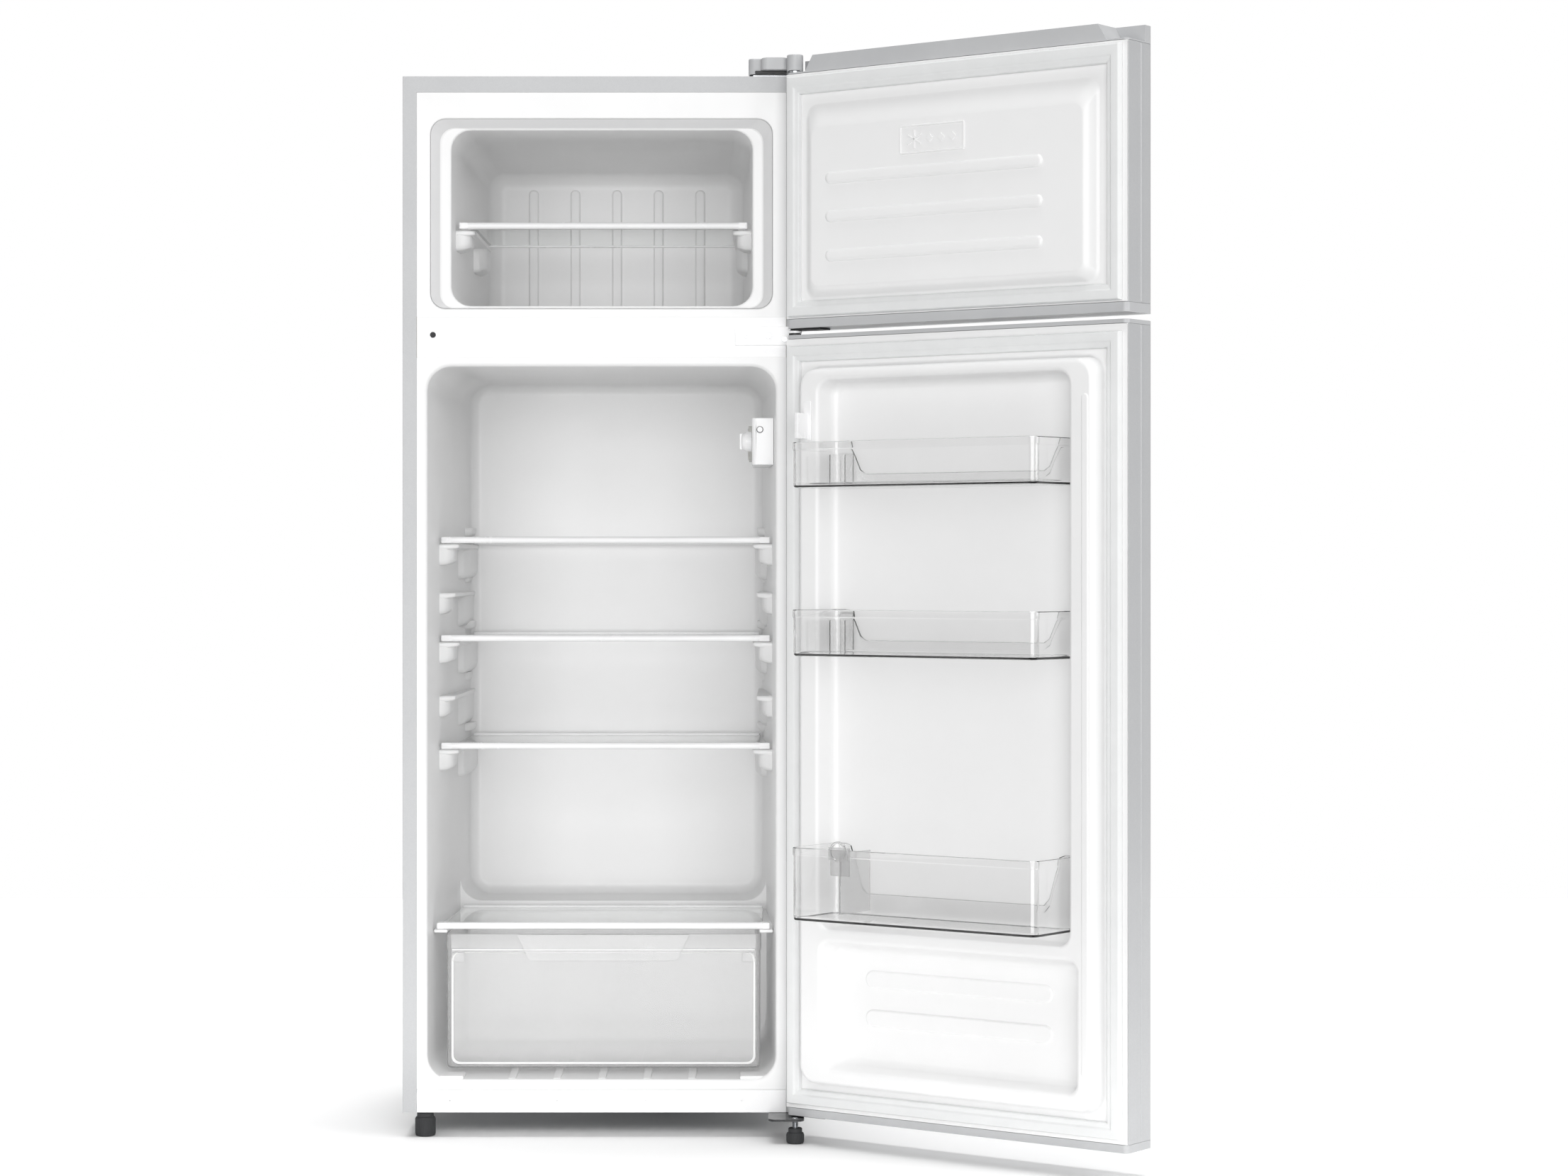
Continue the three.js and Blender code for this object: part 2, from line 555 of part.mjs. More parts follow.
const freezerDoor = doorGroup();
place('freezer_door_skin', doorSkin(FREEZER_DOOR), SILVER_STEEL, freezerDoor);
place('freezer_door_liner', freezerDoorLiner(), WHITE_PLASTIC, freezerDoor);
place('freezer_door_foam', doorFoam(FREEZER_DOOR, [2, 16.5], freezerPanel(-3, 7, 23.5)), FOAM, freezerDoor);
place('freezer_door_bottom_cap', endCap([1104, 1106.5], [FREEZER_DOOR.low, FREEZER_DOOR.faceLow - GAP]),
  GREY_PLASTIC, freezerDoor);
place('freezer_door_top_cap',
  endCap([1418, 1434.6], [FREEZER_DOOR.faceHigh + GAP, FREEZER_DOOR.high], true), GREY_PLASTIC, freezerDoor);
place('freezer_door_gasket', gasket(1107, 1430, 21, 25), GASKET_WHITE, freezerDoor);

// -- fridge door
const dyke = pressing([12, [31, 495, 83, 1038]], [40, [35, 491, 87, 1034]], 24);
const upperRecess = pressing([6, [70, 453, 296, 1016]], [40, [66, 457, 292, 1020]], 18);
const lowerRecess = pressing([6, [76, 460, 114, 266]], [40, [70, 468, 106, 276]], 14);

function fridgeDoorLiner() {
  const form = cut(
    join(face(FRIDGE_DOOR, 10, 12, 0.5), dyke(0, 10, 40), upperRecess(2, 4, 12), lowerRecess(2, 4, 12)),
    upperRecess(0, 6, 40.5),
    lowerRecess(0, 6, 40.5),
  );
  const hollow = cut(dyke(-2, 9, 38), upperRecess(2, 2.5, 41), lowerRecess(2, 2.5, 41));
  let liner = form.subtract(hollow);
  for (const z of [226.5, 175]) {
    liner = liner.add(obround(121, 413, z - 12, z + 12, 5, 10));
  }
  return liner;
}

const fridgeFoamExtra = cut(dyke(-2.4, 7, 37.6), upperRecess(2.4, 2, 42), lowerRecess(2.4, 2, 42));
const fridgeDoor = doorGroup();
place('fridge_door_skin', doorSkin(FRIDGE_DOOR), SILVER_STEEL, fridgeDoor);
place('fridge_door_liner', fridgeDoorLiner(), WHITE_PLASTIC, fridgeDoor);
place('fridge_door_foam', doorFoam(FRIDGE_DOOR, [2.5, 12.5], fridgeFoamExtra,
  join(upperRecess(2.4, 3.6, 12), lowerRecess(2.4, 3.6, 12))), FOAM, fridgeDoor);
place('fridge_door_bottom_cap', endCap([45, 47.5], [FRIDGE_DOOR.low, FRIDGE_DOOR.faceLow - GAP]),
  GREY_PLASTIC, fridgeDoor);
place('fridge_door_top_cap', endCap([1067, 1079], [FRIDGE_DOOR.faceHigh + GAP, FRIDGE_DOOR.high]),
  GREY_PLASTIC, fridgeDoor);
place('fridge_door_gasket', gasket(52, 1068, 21, 21), GASKET_WHITE, fridgeDoor);
place('switch_striker', join(
  panel(45, 57, 40.3, 42.3, 940, 992),
  panel(47, 52, 41, 65.3, 942, 976),
), WHITE_PLASTIC, fridgeDoor);

// A clear door balcony. Its back wall is low in the middle and slants up to both ends.
function balcony({ low, high }) {
  const { hingeSide, freeSide, back, front, wall } = BALCONY;
  const tub = (g, z0, z1) => solid(alongZ(
    roundRect(-freeSide + g, -hingeSide - g, back + g, front - g, 11 - g), z0, z1, 3));
  const rise = low + (high - low) * 0.3;
  const dip = solid(alongY(outline(
    [-freeSide + 22, high + 1], [-freeSide + 44, rise], [-hingeSide - 44, rise], [-hingeSide - 22, high + 1]),
  back - 1, back + wall + 9));
  return cut(tub(0, low, high), tub(wall, low + wall, high + 1), dip);
}
BALCONIES.forEach((sizes, i) => place(`door_balcony_${i + 1}`, balcony(sizes), CLEAR_PLASTIC, fridgeDoor));

// A divider that hooks over the bottom balcony's front wall and slides along it.
function bottleDivider() {
  const { low, high } = BALCONIES[2];
  const { front, wall } = BALCONY;
  const u = 150;
  return join(
    panel(u, u + 2.4, 40, front - wall - GAP, low + 12, high - 4),
    panel(u - 14, u + 16, front - wall - GAP - 2.2, front - wall - GAP, high - 34, high + 3),
    panel(u - 14, u + 16, front - wall - GAP - 2.2, front + 2.5, high + GAP, high + 3),
    panel(u - 14, u + 16, front + GAP, front + 2.5, high - 14, high + 3),
  );
}
place('bottle_divider', bottleDivider(), CLEAR_PLASTIC, fridgeDoor);

// ---------------------------------------------------------------- cooling circuit at the back
function compressor() {
  const profile = [[0, 46], [30, 46], [34, 52], [50, 56], [56, 72], [57, 128], [57, 134], [55, 140],
    [50, 172], [34, 192], [0, 200]];
  const shell = new THREE.LatheGeometry(profile.map(([r, z]) => new THREE.Vector2(r, z)), 24)
    .rotateX(Math.PI / 2).translate(100, 424, 0);
  return join(solid(shell), block(34, 166, 398, 450, 44, 48));
}

function compressorMounts() {
  return cut(
    block(30, 170, 392, 456, 42.3, 43.7),
    block(52, 148, 404, 444, 41, 45),
  );
}

function dripTray() {
  return cut(
    solid(alongZ(roundRect(38, 162, 372, 474, 10), 203, 232, 3)),
    solid(alongZ(roundRect(40, 160, 374, 472, 8), 205, 233, 3)),
  );
}

function condenser() {
  const { y, tube, half, low, high, passes } = CONDENSER;
  const pitch = (high - low) / (passes - 1);
  const points = [];
  for (let i = 0; i < passes; i += 1) {
    const z = low + i * pitch;
    const sign = i % 2 ? -1 : 1;
    points.push([-sign * (half - 40), y, z], [0, y, z], [sign * (half - 40), y, z]);
    if (i < passes - 1) points.push([sign * half, y, z + pitch / 2]);
  }
  let grid = solid(tubeAlong(points, tube, passes * 9, 3));
  for (let wire = -2; wire <= 2; wire += 1) {
    const x = wire * 85;
    grid = grid.add(block(x - 0.8, x + 0.8, y - 3, y + 3, low - 14, high + 14));
  }
  for (const [x, z] of [[-170, low + 20], [170, low + 20], [-170, high - 20], [170, high - 20]]) {
    grid = grid.add(block(x - 6, x + 6, CABINET.depth - 2 + GAP, y + 1, z - 34, z + 34));
  }
  return grid;
}

place('compressor', compressor(), BLACK_STEEL);
place('compressor_mount', compressorMounts(), BLACK_RUBBER);
place('terminal_box', solid(alongZ(roundRect(-4, 42.6, 402, 446, 5), 92, 150, 3)), BLACK_RUBBER);
place('drip_tray', dripTray(), BLACK_RUBBER);
place('condenser', condenser(), BLACK_STEEL);
place('filter_drier', new THREE.LatheGeometry(
  [[0, 0], [3, 0], [3, 8], [10, 16], [10, 92], [3, 100], [3, 108], [0, 108]].map(([r, z]) => new THREE.Vector2(r, z)),
  16).rotateX(Math.PI / 2).translate(-120, 452, 90), COPPER);
place('discharge_pipe', tubeAlong(
  [[158, 424, 110], [176, 430, 116], [188, 452, 150], [192, 484, 210], [196, 499, 260], [198, 499, 318]],
  2.4, 14, 4), COPPER);

export default refrigerator;
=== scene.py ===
"""A top freezer refrigerator with both doors standing open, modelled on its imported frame.

Sizes are in millimetres, drawn in the cabinet's own frame or in the frame of a shut door.
"""
import logging
import math
from dataclasses import dataclass
from enum import Enum
from typing import ClassVar, Iterable, Sequence

import bmesh
import bpy
from mathutils import Matrix, Vector


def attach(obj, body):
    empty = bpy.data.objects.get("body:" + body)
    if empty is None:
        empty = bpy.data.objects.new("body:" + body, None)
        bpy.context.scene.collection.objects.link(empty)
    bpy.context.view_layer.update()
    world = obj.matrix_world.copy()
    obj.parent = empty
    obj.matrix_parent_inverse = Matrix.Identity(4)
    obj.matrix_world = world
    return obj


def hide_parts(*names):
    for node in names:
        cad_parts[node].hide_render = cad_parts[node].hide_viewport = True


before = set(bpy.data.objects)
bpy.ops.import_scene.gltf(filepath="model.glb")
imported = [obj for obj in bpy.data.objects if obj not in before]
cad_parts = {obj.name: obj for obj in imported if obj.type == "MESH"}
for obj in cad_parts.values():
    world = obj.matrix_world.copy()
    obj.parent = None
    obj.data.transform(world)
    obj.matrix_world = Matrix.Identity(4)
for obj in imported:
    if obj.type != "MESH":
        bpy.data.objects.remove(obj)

LOG = logging.getLogger("refrigerator")
MM = 0.001
GAP = 0.3  # clearance that the frame leaves between touching pieces
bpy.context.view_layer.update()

Point = tuple[float, float, float]
Loop = list[Vector]

# The turns that lay a form drawn upright on its side, or stand it on its head.
UPRIGHT: Point = (0.0, 0.0, 0.0)
FACING_FRONT: Point = (math.radians(90), 0.0, 0.0)
FACING_BACK: Point = (math.radians(-90), 0.0, 0.0)
FACING_DOWN: Point = (math.radians(180), 0.0, 0.0)
LYING_ACROSS: Point = (0.0, math.radians(90), 0.0)


class Bench(Enum):
    """The two frames that pieces are drawn in, as a matrix from millimetres to the row."""

    CABINET = Matrix.Translation((0.240, -0.018, 0.0)) @ Matrix.Scale(MM, 4)
    DOOR = (Matrix.Translation((0.502, -0.040, 0.0)) @ Matrix.Rotation(math.radians(143.5), 4, "Z")
            @ Matrix.Scale(MM, 4))


class Plane(Enum):
    """The plane that an outline is drawn in, as the axes of its width, height and level."""

    UPRIGHT = (0, 2, 1)
    LEVEL = (0, 1, 2)
    ACROSS = (1, 2, 0)


class Side(Enum):
    """The two sides of the cabinet, as the sign of X."""

    LEFT = -1
    RIGHT = 1


# ------------------------------------------------------------------------------ finishes


def linear(code: str) -> tuple[float, float, float, float]:
    """Turns an sRGB hex colour into the linear colour that a shader reads.

    Args:
        code: six hex digits.

    Returns:
        Red, green, blue and an alpha of one.
    """
    def channel(value: int) -> float:
        """One channel, from 0 to 255, made linear."""
        share = value / 255
        return share / 12.92 if share <= 0.04045 else ((share + 0.055) / 1.055) ** 2.4

    return (*(channel(int(code[i:i + 2], 16)) for i in (0, 2, 4)), 1.0)


def add_node(tree: bpy.types.NodeTree, kind: str, settings: dict | None = None,
             inputs: dict | None = None) -> bpy.types.Node:
    """Adds one node with its settings, values and links.

    Args:
        tree: the node tree that it joins.
        kind: the node's Blender type.
        settings: properties of the node, by name.
        inputs: socket names or numbers, each with a value or an output socket to link.

    Returns:
        The new node.
    """
    made = tree.nodes.new(kind)
    for key, value in (settings or {}).items():
        setattr(made, key, value)
    for key, value in (inputs or {}).items():
        if isinstance(value, bpy.types.NodeSocket):
            tree.links.new(value, made.inputs[key])
        else:
            made.inputs[key].default_value = value
    return made


@dataclass(frozen=True)
class Finish:
    """A real material, with a tone, a gloss and a relief that wander as the real one's do.

    The tone runs between two colours over blotch_mm, the roughness wanders with it, and a
    relief relief_mm deep repeats every grain_mm.
    """

    name: str
    slot: str
    light: str
    dark: str
    roughness: float
    wander: float = 0.06
    blotch_mm: float = 70.0
    grain_mm: float = 2.0
    relief_mm: float = 0.02
    metallic: float = 0.0
    ior: float = 1.5
    coat: float = 0.0
    transmission: float = 0.0

    def tone(self, tree: bpy.types.NodeTree, where: bpy.types.NodeSocket) -> bpy.types.NodeSocket:
        """The share of the darker colour at each spot: soft blotches.

        Args:
            tree: the material's tree.
            where: the place on the object.

        Returns:
            A socket from 0 to 1.
        """
        return add_node(tree, "ShaderNodeTexNoise", None, {
            "Vector": where, "Scale": 1000 / self.blotch_mm, "Detail": 5.0, "Roughness": 0.6}).outputs["Fac"]

    def relief(self, tree: bpy.types.NodeTree, where: bpy.types.NodeSocket) -> bpy.types.NodeSocket:
        """The height of the surface at each spot: a fine even grain.

        Args:
            tree: the material's tree.
            where: the place on the object.

        Returns:
            A socket from 0 to 1.
        """
        return add_node(tree, "ShaderNodeTexNoise", None, {
            "Vector": where, "Scale": 1000 / self.grain_mm, "Detail": 2.0}).outputs["Fac"]

    def material(self) -> bpy.types.Material:
        """Builds the material the first time, then hands out the same one.

        Returns:
            The finished material.
        """
        made = bpy.data.materials.get(self.name)
        if made is not None:
            return made
        made = bpy.data.materials.new(self.name)
        made.use_nodes = True
        tree = made.node_tree
        shader = tree.nodes["Principled BSDF"]
        for socket, value in {"Metallic": self.metallic, "IOR": self.ior, "Coat Weight": self.coat,
                              "Coat Roughness": 0.12, "Transmission Weight": self.transmission}.items():
            shader.inputs[socket].default_value = value
        where = add_node(tree, "ShaderNodeTexCoord").outputs["Object"]
        share = self.tone(tree, where)
        colour = add_node(tree, "ShaderNodeMix", {"data_type": "RGBA"}, {
            0: share, 6: linear(self.light), 7: linear(self.dark)})
        gloss = add_node(tree, "ShaderNodeMapRange", None, {
            "Value": share, "To Min": max(self.roughness - self.wander, 0.0),
            "To Max": self.roughness + self.wander})
        bump = add_node(tree, "ShaderNodeBump", None, {
            "Height": self.relief(tree, where), "Distance": self.relief_mm * MM, "Strength": 0.6})
        tree.links.new(colour.outputs[2], shader.inputs["Base Color"])
        tree.links.new(gloss.outputs["Result"], shader.inputs["Roughness"])
        tree.links.new(bump.outputs["Normal"], shader.inputs["Normal"])
        return made


@dataclass(frozen=True)
class CoilCoatedSteel(Finish):
    """Painted steel sheet: fine metal flake under a slightly rippled baked coat."""

    flake_mm: float = 1.6  # real flake is a tenth of this and would not show

    def tone(self, tree: bpy.types.NodeTree, where: bpy.types.NodeSocket) -> bpy.types.NodeSocket:
        """Flakes of many small greys over slow blotches.

        Args:
            tree: the material's tree.
            where: the place on the object.

        Returns:
            A socket from 0 to 1.
        """
        flake = add_node(tree, "ShaderNodeTexVoronoi", None, {"Vector": where, "Scale": 1000 / self.flake_mm})
        grey = add_node(tree, "ShaderNodeSeparateColor", None,
                        {"Color": flake.outputs["Color"]}).outputs["Red"]
        slow = super().tone(tree, where)
        return add_node(tree, "ShaderNodeMix", None, {0: 0.35, 2: slow, 3: grey}).outputs[0]


@dataclass(frozen=True)
class SpangledZinc(Finish):
    """Hot-dip galvanised sheet: crystals of zinc, each with its own grey."""

    spangle_mm: float = 9.0

    def tone(self, tree: bpy.types.NodeTree, where: bpy.types.NodeSocket) -> bpy.types.NodeSocket:
        """One grey for each crystal.

        Args:
            tree: the material's tree.
            where: the place on the object.

        Returns:
            A socket from 0 to 1.
        """
        crystal = add_node(tree, "ShaderNodeTexVoronoi", None,
                           {"Vector": where, "Scale": 1000 / self.spangle_mm})
        return add_node(tree, "ShaderNodeSeparateColor", None,
                        {"Color": crystal.outputs["Color"]}).outputs["Green"]


@dataclass(frozen=True)
class DrawnMetal(Finish):
    """Tube or wire drawn through a die: fine lines that run across the tone."""

    def tone(self, tree: bpy.types.NodeTree, where: bpy.types.NodeSocket) -> bpy.types.NodeSocket:
        """Tarnish in patches, broken by fine bright lines.

        Args:
            tree: the material's tree.
            where: the place on the object.

        Returns:
            A socket from 0 to 1.
        """
        lines = add_node(tree, "ShaderNodeMapping", None, {"Vector": where, "Scale": (1.0, 1.0, 9.0)})
        fine = add_node(tree, "ShaderNodeTexNoise", None, {
            "Vector": lines.outputs["Vector"], "Scale": 1000 / self.grain_mm, "Detail": 3.0}).outputs["Fac"]
        return add_node(tree, "ShaderNodeMix", None,
                        {0: 0.4, 2: super().tone(tree, where), 3: fine}).outputs[0]


@dataclass(frozen=True)
class MouldGrain(Finish):
    """Injection-moulded plastic from an etched tool: a leathery grain of small cells."""

    def relief(self, tree: bpy.types.NodeTree, where: bpy.types.NodeSocket) -> bpy.types.NodeSocket:
        """Rounded cells, as spark-etched tools leave them.

        Args:
            tree: the material's tree.
            where: the place on the object.

        Returns:
            A socket from 0 to 1.
        """
        return add_node(tree, "ShaderNodeTexVoronoi", {"feature": "SMOOTH_F1"}, {
            "Vector": where, "Scale": 1000 / self.grain_mm}).outputs["Distance"]


@dataclass(frozen=True)
class ClearBody(Finish):
    """Glass or clear plastic that lets the lamps' light through as a thin wall does."""

    passed: str = "F8F8F8"

    def material(self) -> bpy.types.Material:
        """Builds the material the first time, with a plain pane in place of the body for light on its way.

        Returns:
            The finished material.
        """
        made = bpy.data.materials.get(self.name)
        if made is not None:
            return made
        made = super().material()
        tree = made.node_tree
        path = add_node(tree, "ShaderNodeLightPath").outputs
        on_its_way = add_node(tree, "ShaderNodeMath", {"operation": "MAXIMUM"}, {
            0: path["Is Shadow Ray"], 1: path["Is Diffuse Ray"]}).outputs[0]
        pane = add_node(tree, "ShaderNodeBsdfTransparent", None, {"Color": linear(self.passed)})
        both = add_node(tree, "ShaderNodeMixShader", None, {
            0: on_its_way, 1: tree.nodes["Principled BSDF"].outputs[0], 2: pane.outputs[0]})
        tree.links.new(both.outputs[0], tree.nodes["Material Output"].inputs["Surface"])
        return made


# The case and door fronts: coil-coated steel, which reads as an even light silver grey.
SILVER_STEEL = CoilCoatedSteel("Silver coil-coated steel", "silver_steel", "C0C1C2", "B7B8BA", 0.36,
                               coat=0.25)
# The mullion and front rail: the same sheet in appliance white.
WHITE_STEEL = CoilCoatedSteel("White coil-coated steel", "white_trim", "FCFCFC", "F6F6F7", 0.32, coat=0.2)
# The rooms' liners: HIPS sheet drawn by vacuum, satin, with the slow ripple of stretched sheet.
LINER_HIPS = Finish("Vacuum-formed white HIPS", "white_liner", "F5F5F5", "EFEFEF", 0.34,
                    blotch_mm=120, grain_mm=26, relief_mm=0.10, ior=1.55)
# Shelf trims, the thermostat box and small mouldings: white ABS, a little glossier.
WHITE_ABS = MouldGrain("Moulded white ABS", "white_trim", "FAFAFA", "F3F3F4", 0.26, grain_mm=1.2,
                       relief_mm=0.01)
# The freezer's breaker strip: pale grey ABS, made greyer to paint in the shade that falls on the sloping
# surround of the opening.
PALE_ABS_WITH_PAINTED_SHADE = MouldGrain("Moulded pale grey ABS with painted shade", "white_trim", "DEDEDE", "D6D6D7", 0.4, grain_mm=1.2,
                      relief_mm=0.01)
# Door end caps and hinge cover: grey ABS from an etched tool.
GREY_ABS = MouldGrain("Etched grey ABS", "grey_plastic", "C6C7C8", "B9BABC", 0.42, grain_mm=0.9,
                      relief_mm=0.02)
# Door seals: soft PVC, matte, with a faint greying that wanders in blotches.
SOFT_PVC = Finish("Extruded soft PVC", "gasket", "ECEDED", "E2E3E3", 0.55, blotch_mm=35, grain_mm=1.4,
                  relief_mm=0.02)
# Shelves: float glass, tempered, with a faint green body and roller wave.
TEMPERED_GLASS = ClearBody("Tempered float glass", "tempered_glass", "FDFFFE", "FAFDFC", 0.02, wander=0.01,
                           grain_mm=90, relief_mm=0.05, ior=1.52, transmission=1.0)
# Balconies, drawer and divider: clear GPPS, glossy, with slight flow marks.
CLEAR_GPPS = ClearBody("Clear moulded GPPS", "clear_plastic", "FFFFFF", "FBFBFB", 0.04, wander=0.02,
                       grain_mm=40, relief_mm=0.06, ior=1.59, transmission=1.0)
# The vegetable drawer: the same plastic, faintly hazed by use, with a paler band of painted highlight.
HAZED_GPPS = ClearBody("Hazed moulded GPPS", "clear_plastic", "E4E4E4", "DCDCDC", 0.08, wander=0.03,
                       grain_mm=40, relief_mm=0.05, ior=1.59, transmission=0.78)
# The drawer's frame rib and band: the same plastic, paler and less clear than the tub, a painted highlight
# along the front wall's edge and under the rim.
PALE_GPPS_PAINTED_HIGHLIGHT = ClearBody("Pale GPPS bead with painted highlight", "clear_plastic", "FAFAFA", "F5F5F5", 0.22, grain_mm=1.0,
                        relief_mm=0.02, ior=1.59, transmission=0.3)
# The lamp's diffuser: clear polycarbonate, lightly frosted.
FROSTED_PC = ClearBody("Frosted polycarbonate", "clear_plastic", "FAFAF6", "F1F1EC", 0.35, grain_mm=1.0,
                       relief_mm=0.04, ior=1.58, transmission=0.75)
# The bulb: opal glass.
OPAL_GLASS = Finish("Opal glass", "tempered_glass", "FBF9F2", "F2EFE6", 0.2, ior=1.5, transmission=0.3)
# Feet, rollers and plugs: moulded nitrile rubber, dusty black.
BLACK_RUBBER = MouldGrain("Moulded nitrile rubber", "black_rubber", "2C2D2E", "37383A", 0.7, grain_mm=0.8,
                          relief_mm=0.03, blotch_mm=12)
# Terminal box and drip tray: black polypropylene, also used as painted shadow in the pad under the hinge
# cover.
BLACK_PP = MouldGrain("Moulded black polypropylene", "black_rubber", "1E1F20", "2A2B2C", 0.48, grain_mm=1.0,
                      relief_mm=0.02, blotch_mm=30)
# Back panel, deck and brackets: galvanised sheet.
GALVANISED = SpangledZinc("Galvanised steel sheet", "zinc_steel", "B9BBBD", "9FA2A5", 0.38, wander=0.1,
                          metallic=0.9)
# Screws, hinge plates and pins: bright zinc plate.
ZINC_PLATE = DrawnMetal("Zinc-plated steel", "zinc_steel", "CDCFD1", "A9ABAE", 0.28, metallic=1.0,
                        grain_mm=0.6, blotch_mm=9, relief_mm=0.005)
# Compressor, condenser and bottom hinge: steel under black enamel.
BLACK_ENAMEL = Finish("Black enamelled steel", "black_steel", "17181A", "26272A", 0.34, wander=0.1,
                      blotch_mm=25, grain_mm=3, relief_mm=0.03, coat=0.3)
# Refrigerant pipes: drawn copper, tarnished in patches.
COPPER = DrawnMetal("Drawn copper tube", "copper", "C98A62", "8C5638", 0.3, wander=0.12, metallic=1.0,
                    blotch_mm=22, grain_mm=0.7, relief_mm=0.01)
# Insulation: rigid polyurethane foam, open cells where it was cut.
PU_FOAM = MouldGrain("Rigid polyurethane foam", "foam", "E9D9A4", "D8C48A", 0.85, blotch_mm=18, grain_mm=1.5,
                     relief_mm=0.4)


# ------------------------------------------------------------------------------ shapes


def rounded(a0: float, a1: float, b0: float, b1: float, radius: float, level: float,
            plane: Plane = Plane.UPRIGHT, steps: int = 7, cuts: tuple[int, int] = (1, 1)) -> Loop:
    """Draws a rectangle with round corners.

    Args:
        a0: its low side.
        a1: its high side.
        b0: its low end.
        b1: its high end.
        radius: radius of its corners.
        level: where it lies across its plane.
        plane: the plane that it lies in.
        steps: facets in each corner.
        cuts: pieces that the straight sides are cut into, along each axis.

    Returns:
        Its points in order.
    """
    corners = [(a1 - radius, b0 + radius, -90), (a1 - radius, b1 - radius, 0),
               (a0 + radius, b1 - radius, 90), (a0 + radius, b0 + radius, 180)]
    flat: list[tuple[float, float]] = []
    for number, (a, b, start) in enumerate(corners):
        for step in range(steps + 1):
            turn = math.radians(start + 90 * step / steps)
            flat.append((a + radius * math.cos(turn), b + radius * math.sin(turn)))
        a_next, b_next, start_next = corners[(number + 1) % 4]
        turn = math.radians(start_next)
        ahead = (a_next + radius * math.cos(turn), b_next + radius * math.sin(turn))
        count = cuts[1] if number % 2 == 0 else cuts[0]
        last = flat[-1]
        flat += [(last[0] + (ahead[0] - last[0]) * i / count, last[1] + (ahead[1] - last[1]) * i / count)
                 for i in range(1, count)]
    first, second, across = plane.value
    points = []
    for a, b in flat:
        point = Vector((0.0, 0.0, 0.0))
        point[first], point[second], point[across] = a, b, level
        points.append(point)
    return points


@dataclass(frozen=True)
class Section:
    """One outline of a formed shape: its sides, its corner radius and its depth."""

    x0: float
    x1: float
    z0: float
    z1: float
    radius: float
    depth: float

    def grown(self, by: float, depth: float) -> "Section":
        """The same outline, larger by a margin on every side, at another depth."""
        return Section(self.x0 - by, self.x1 + by, self.z0 - by, self.z1 + by, max(self.radius + by, 0.4),
                       depth)

    def toward(self, other: "Section", share: float) -> "Section":
        """The outline that lies between this one and another.

        Args:
            other: the other outline.
            share: how much of the way to it, from 0 to 1.

        Returns:
            The outline between them.
        """
        mine = (self.x0, self.x1, self.z0, self.z1, self.radius, self.depth)
        theirs = (other.x0, other.x1, other.z0, other.z1, other.radius, other.depth)
        return Section(*(a + (b - a) * share for a, b in zip(mine, theirs)))

    def loop(self) -> Loop:
        """The outline's points."""
        return rounded(self.x0, self.x1, self.z0, self.z1, self.radius, self.depth)


def fillet(edge: Section, radius: float, inward: float, deeper: float, start_flat: bool, steps: int = 5,
           far: Section | None = None) -> list[Section]:
    """Rounds the turn between a flat face and a wall.

    Args:
        edge: the sharp corner's outline.
        radius: radius of the turn.
        inward: 1 where the flat face lies outside the wall, -1 where it lies inside.
        deeper: 1 or -1, the way along depth in which the wall leaves the corner.
        start_flat: whether the run of outlines starts on the flat face or on the wall.
        steps: facets in the turn.
        far: the wall's outline at its other end, where the wall slopes.

    Returns:
        Outlines along the turn, in order.
    """
    run = []
    for step in range(steps + 1):
        turn = math.radians(90 * step / steps)
        depth = edge.depth + deeper * radius * (1 - math.cos(turn))
        wall = edge.toward(far, (depth - edge.depth) / (far.depth - edge.depth)) if far else edge
        run.append(wall.grown(inward * radius * (1 - math.sin(turn)), depth))
    return run if start_flat else run[::-1]


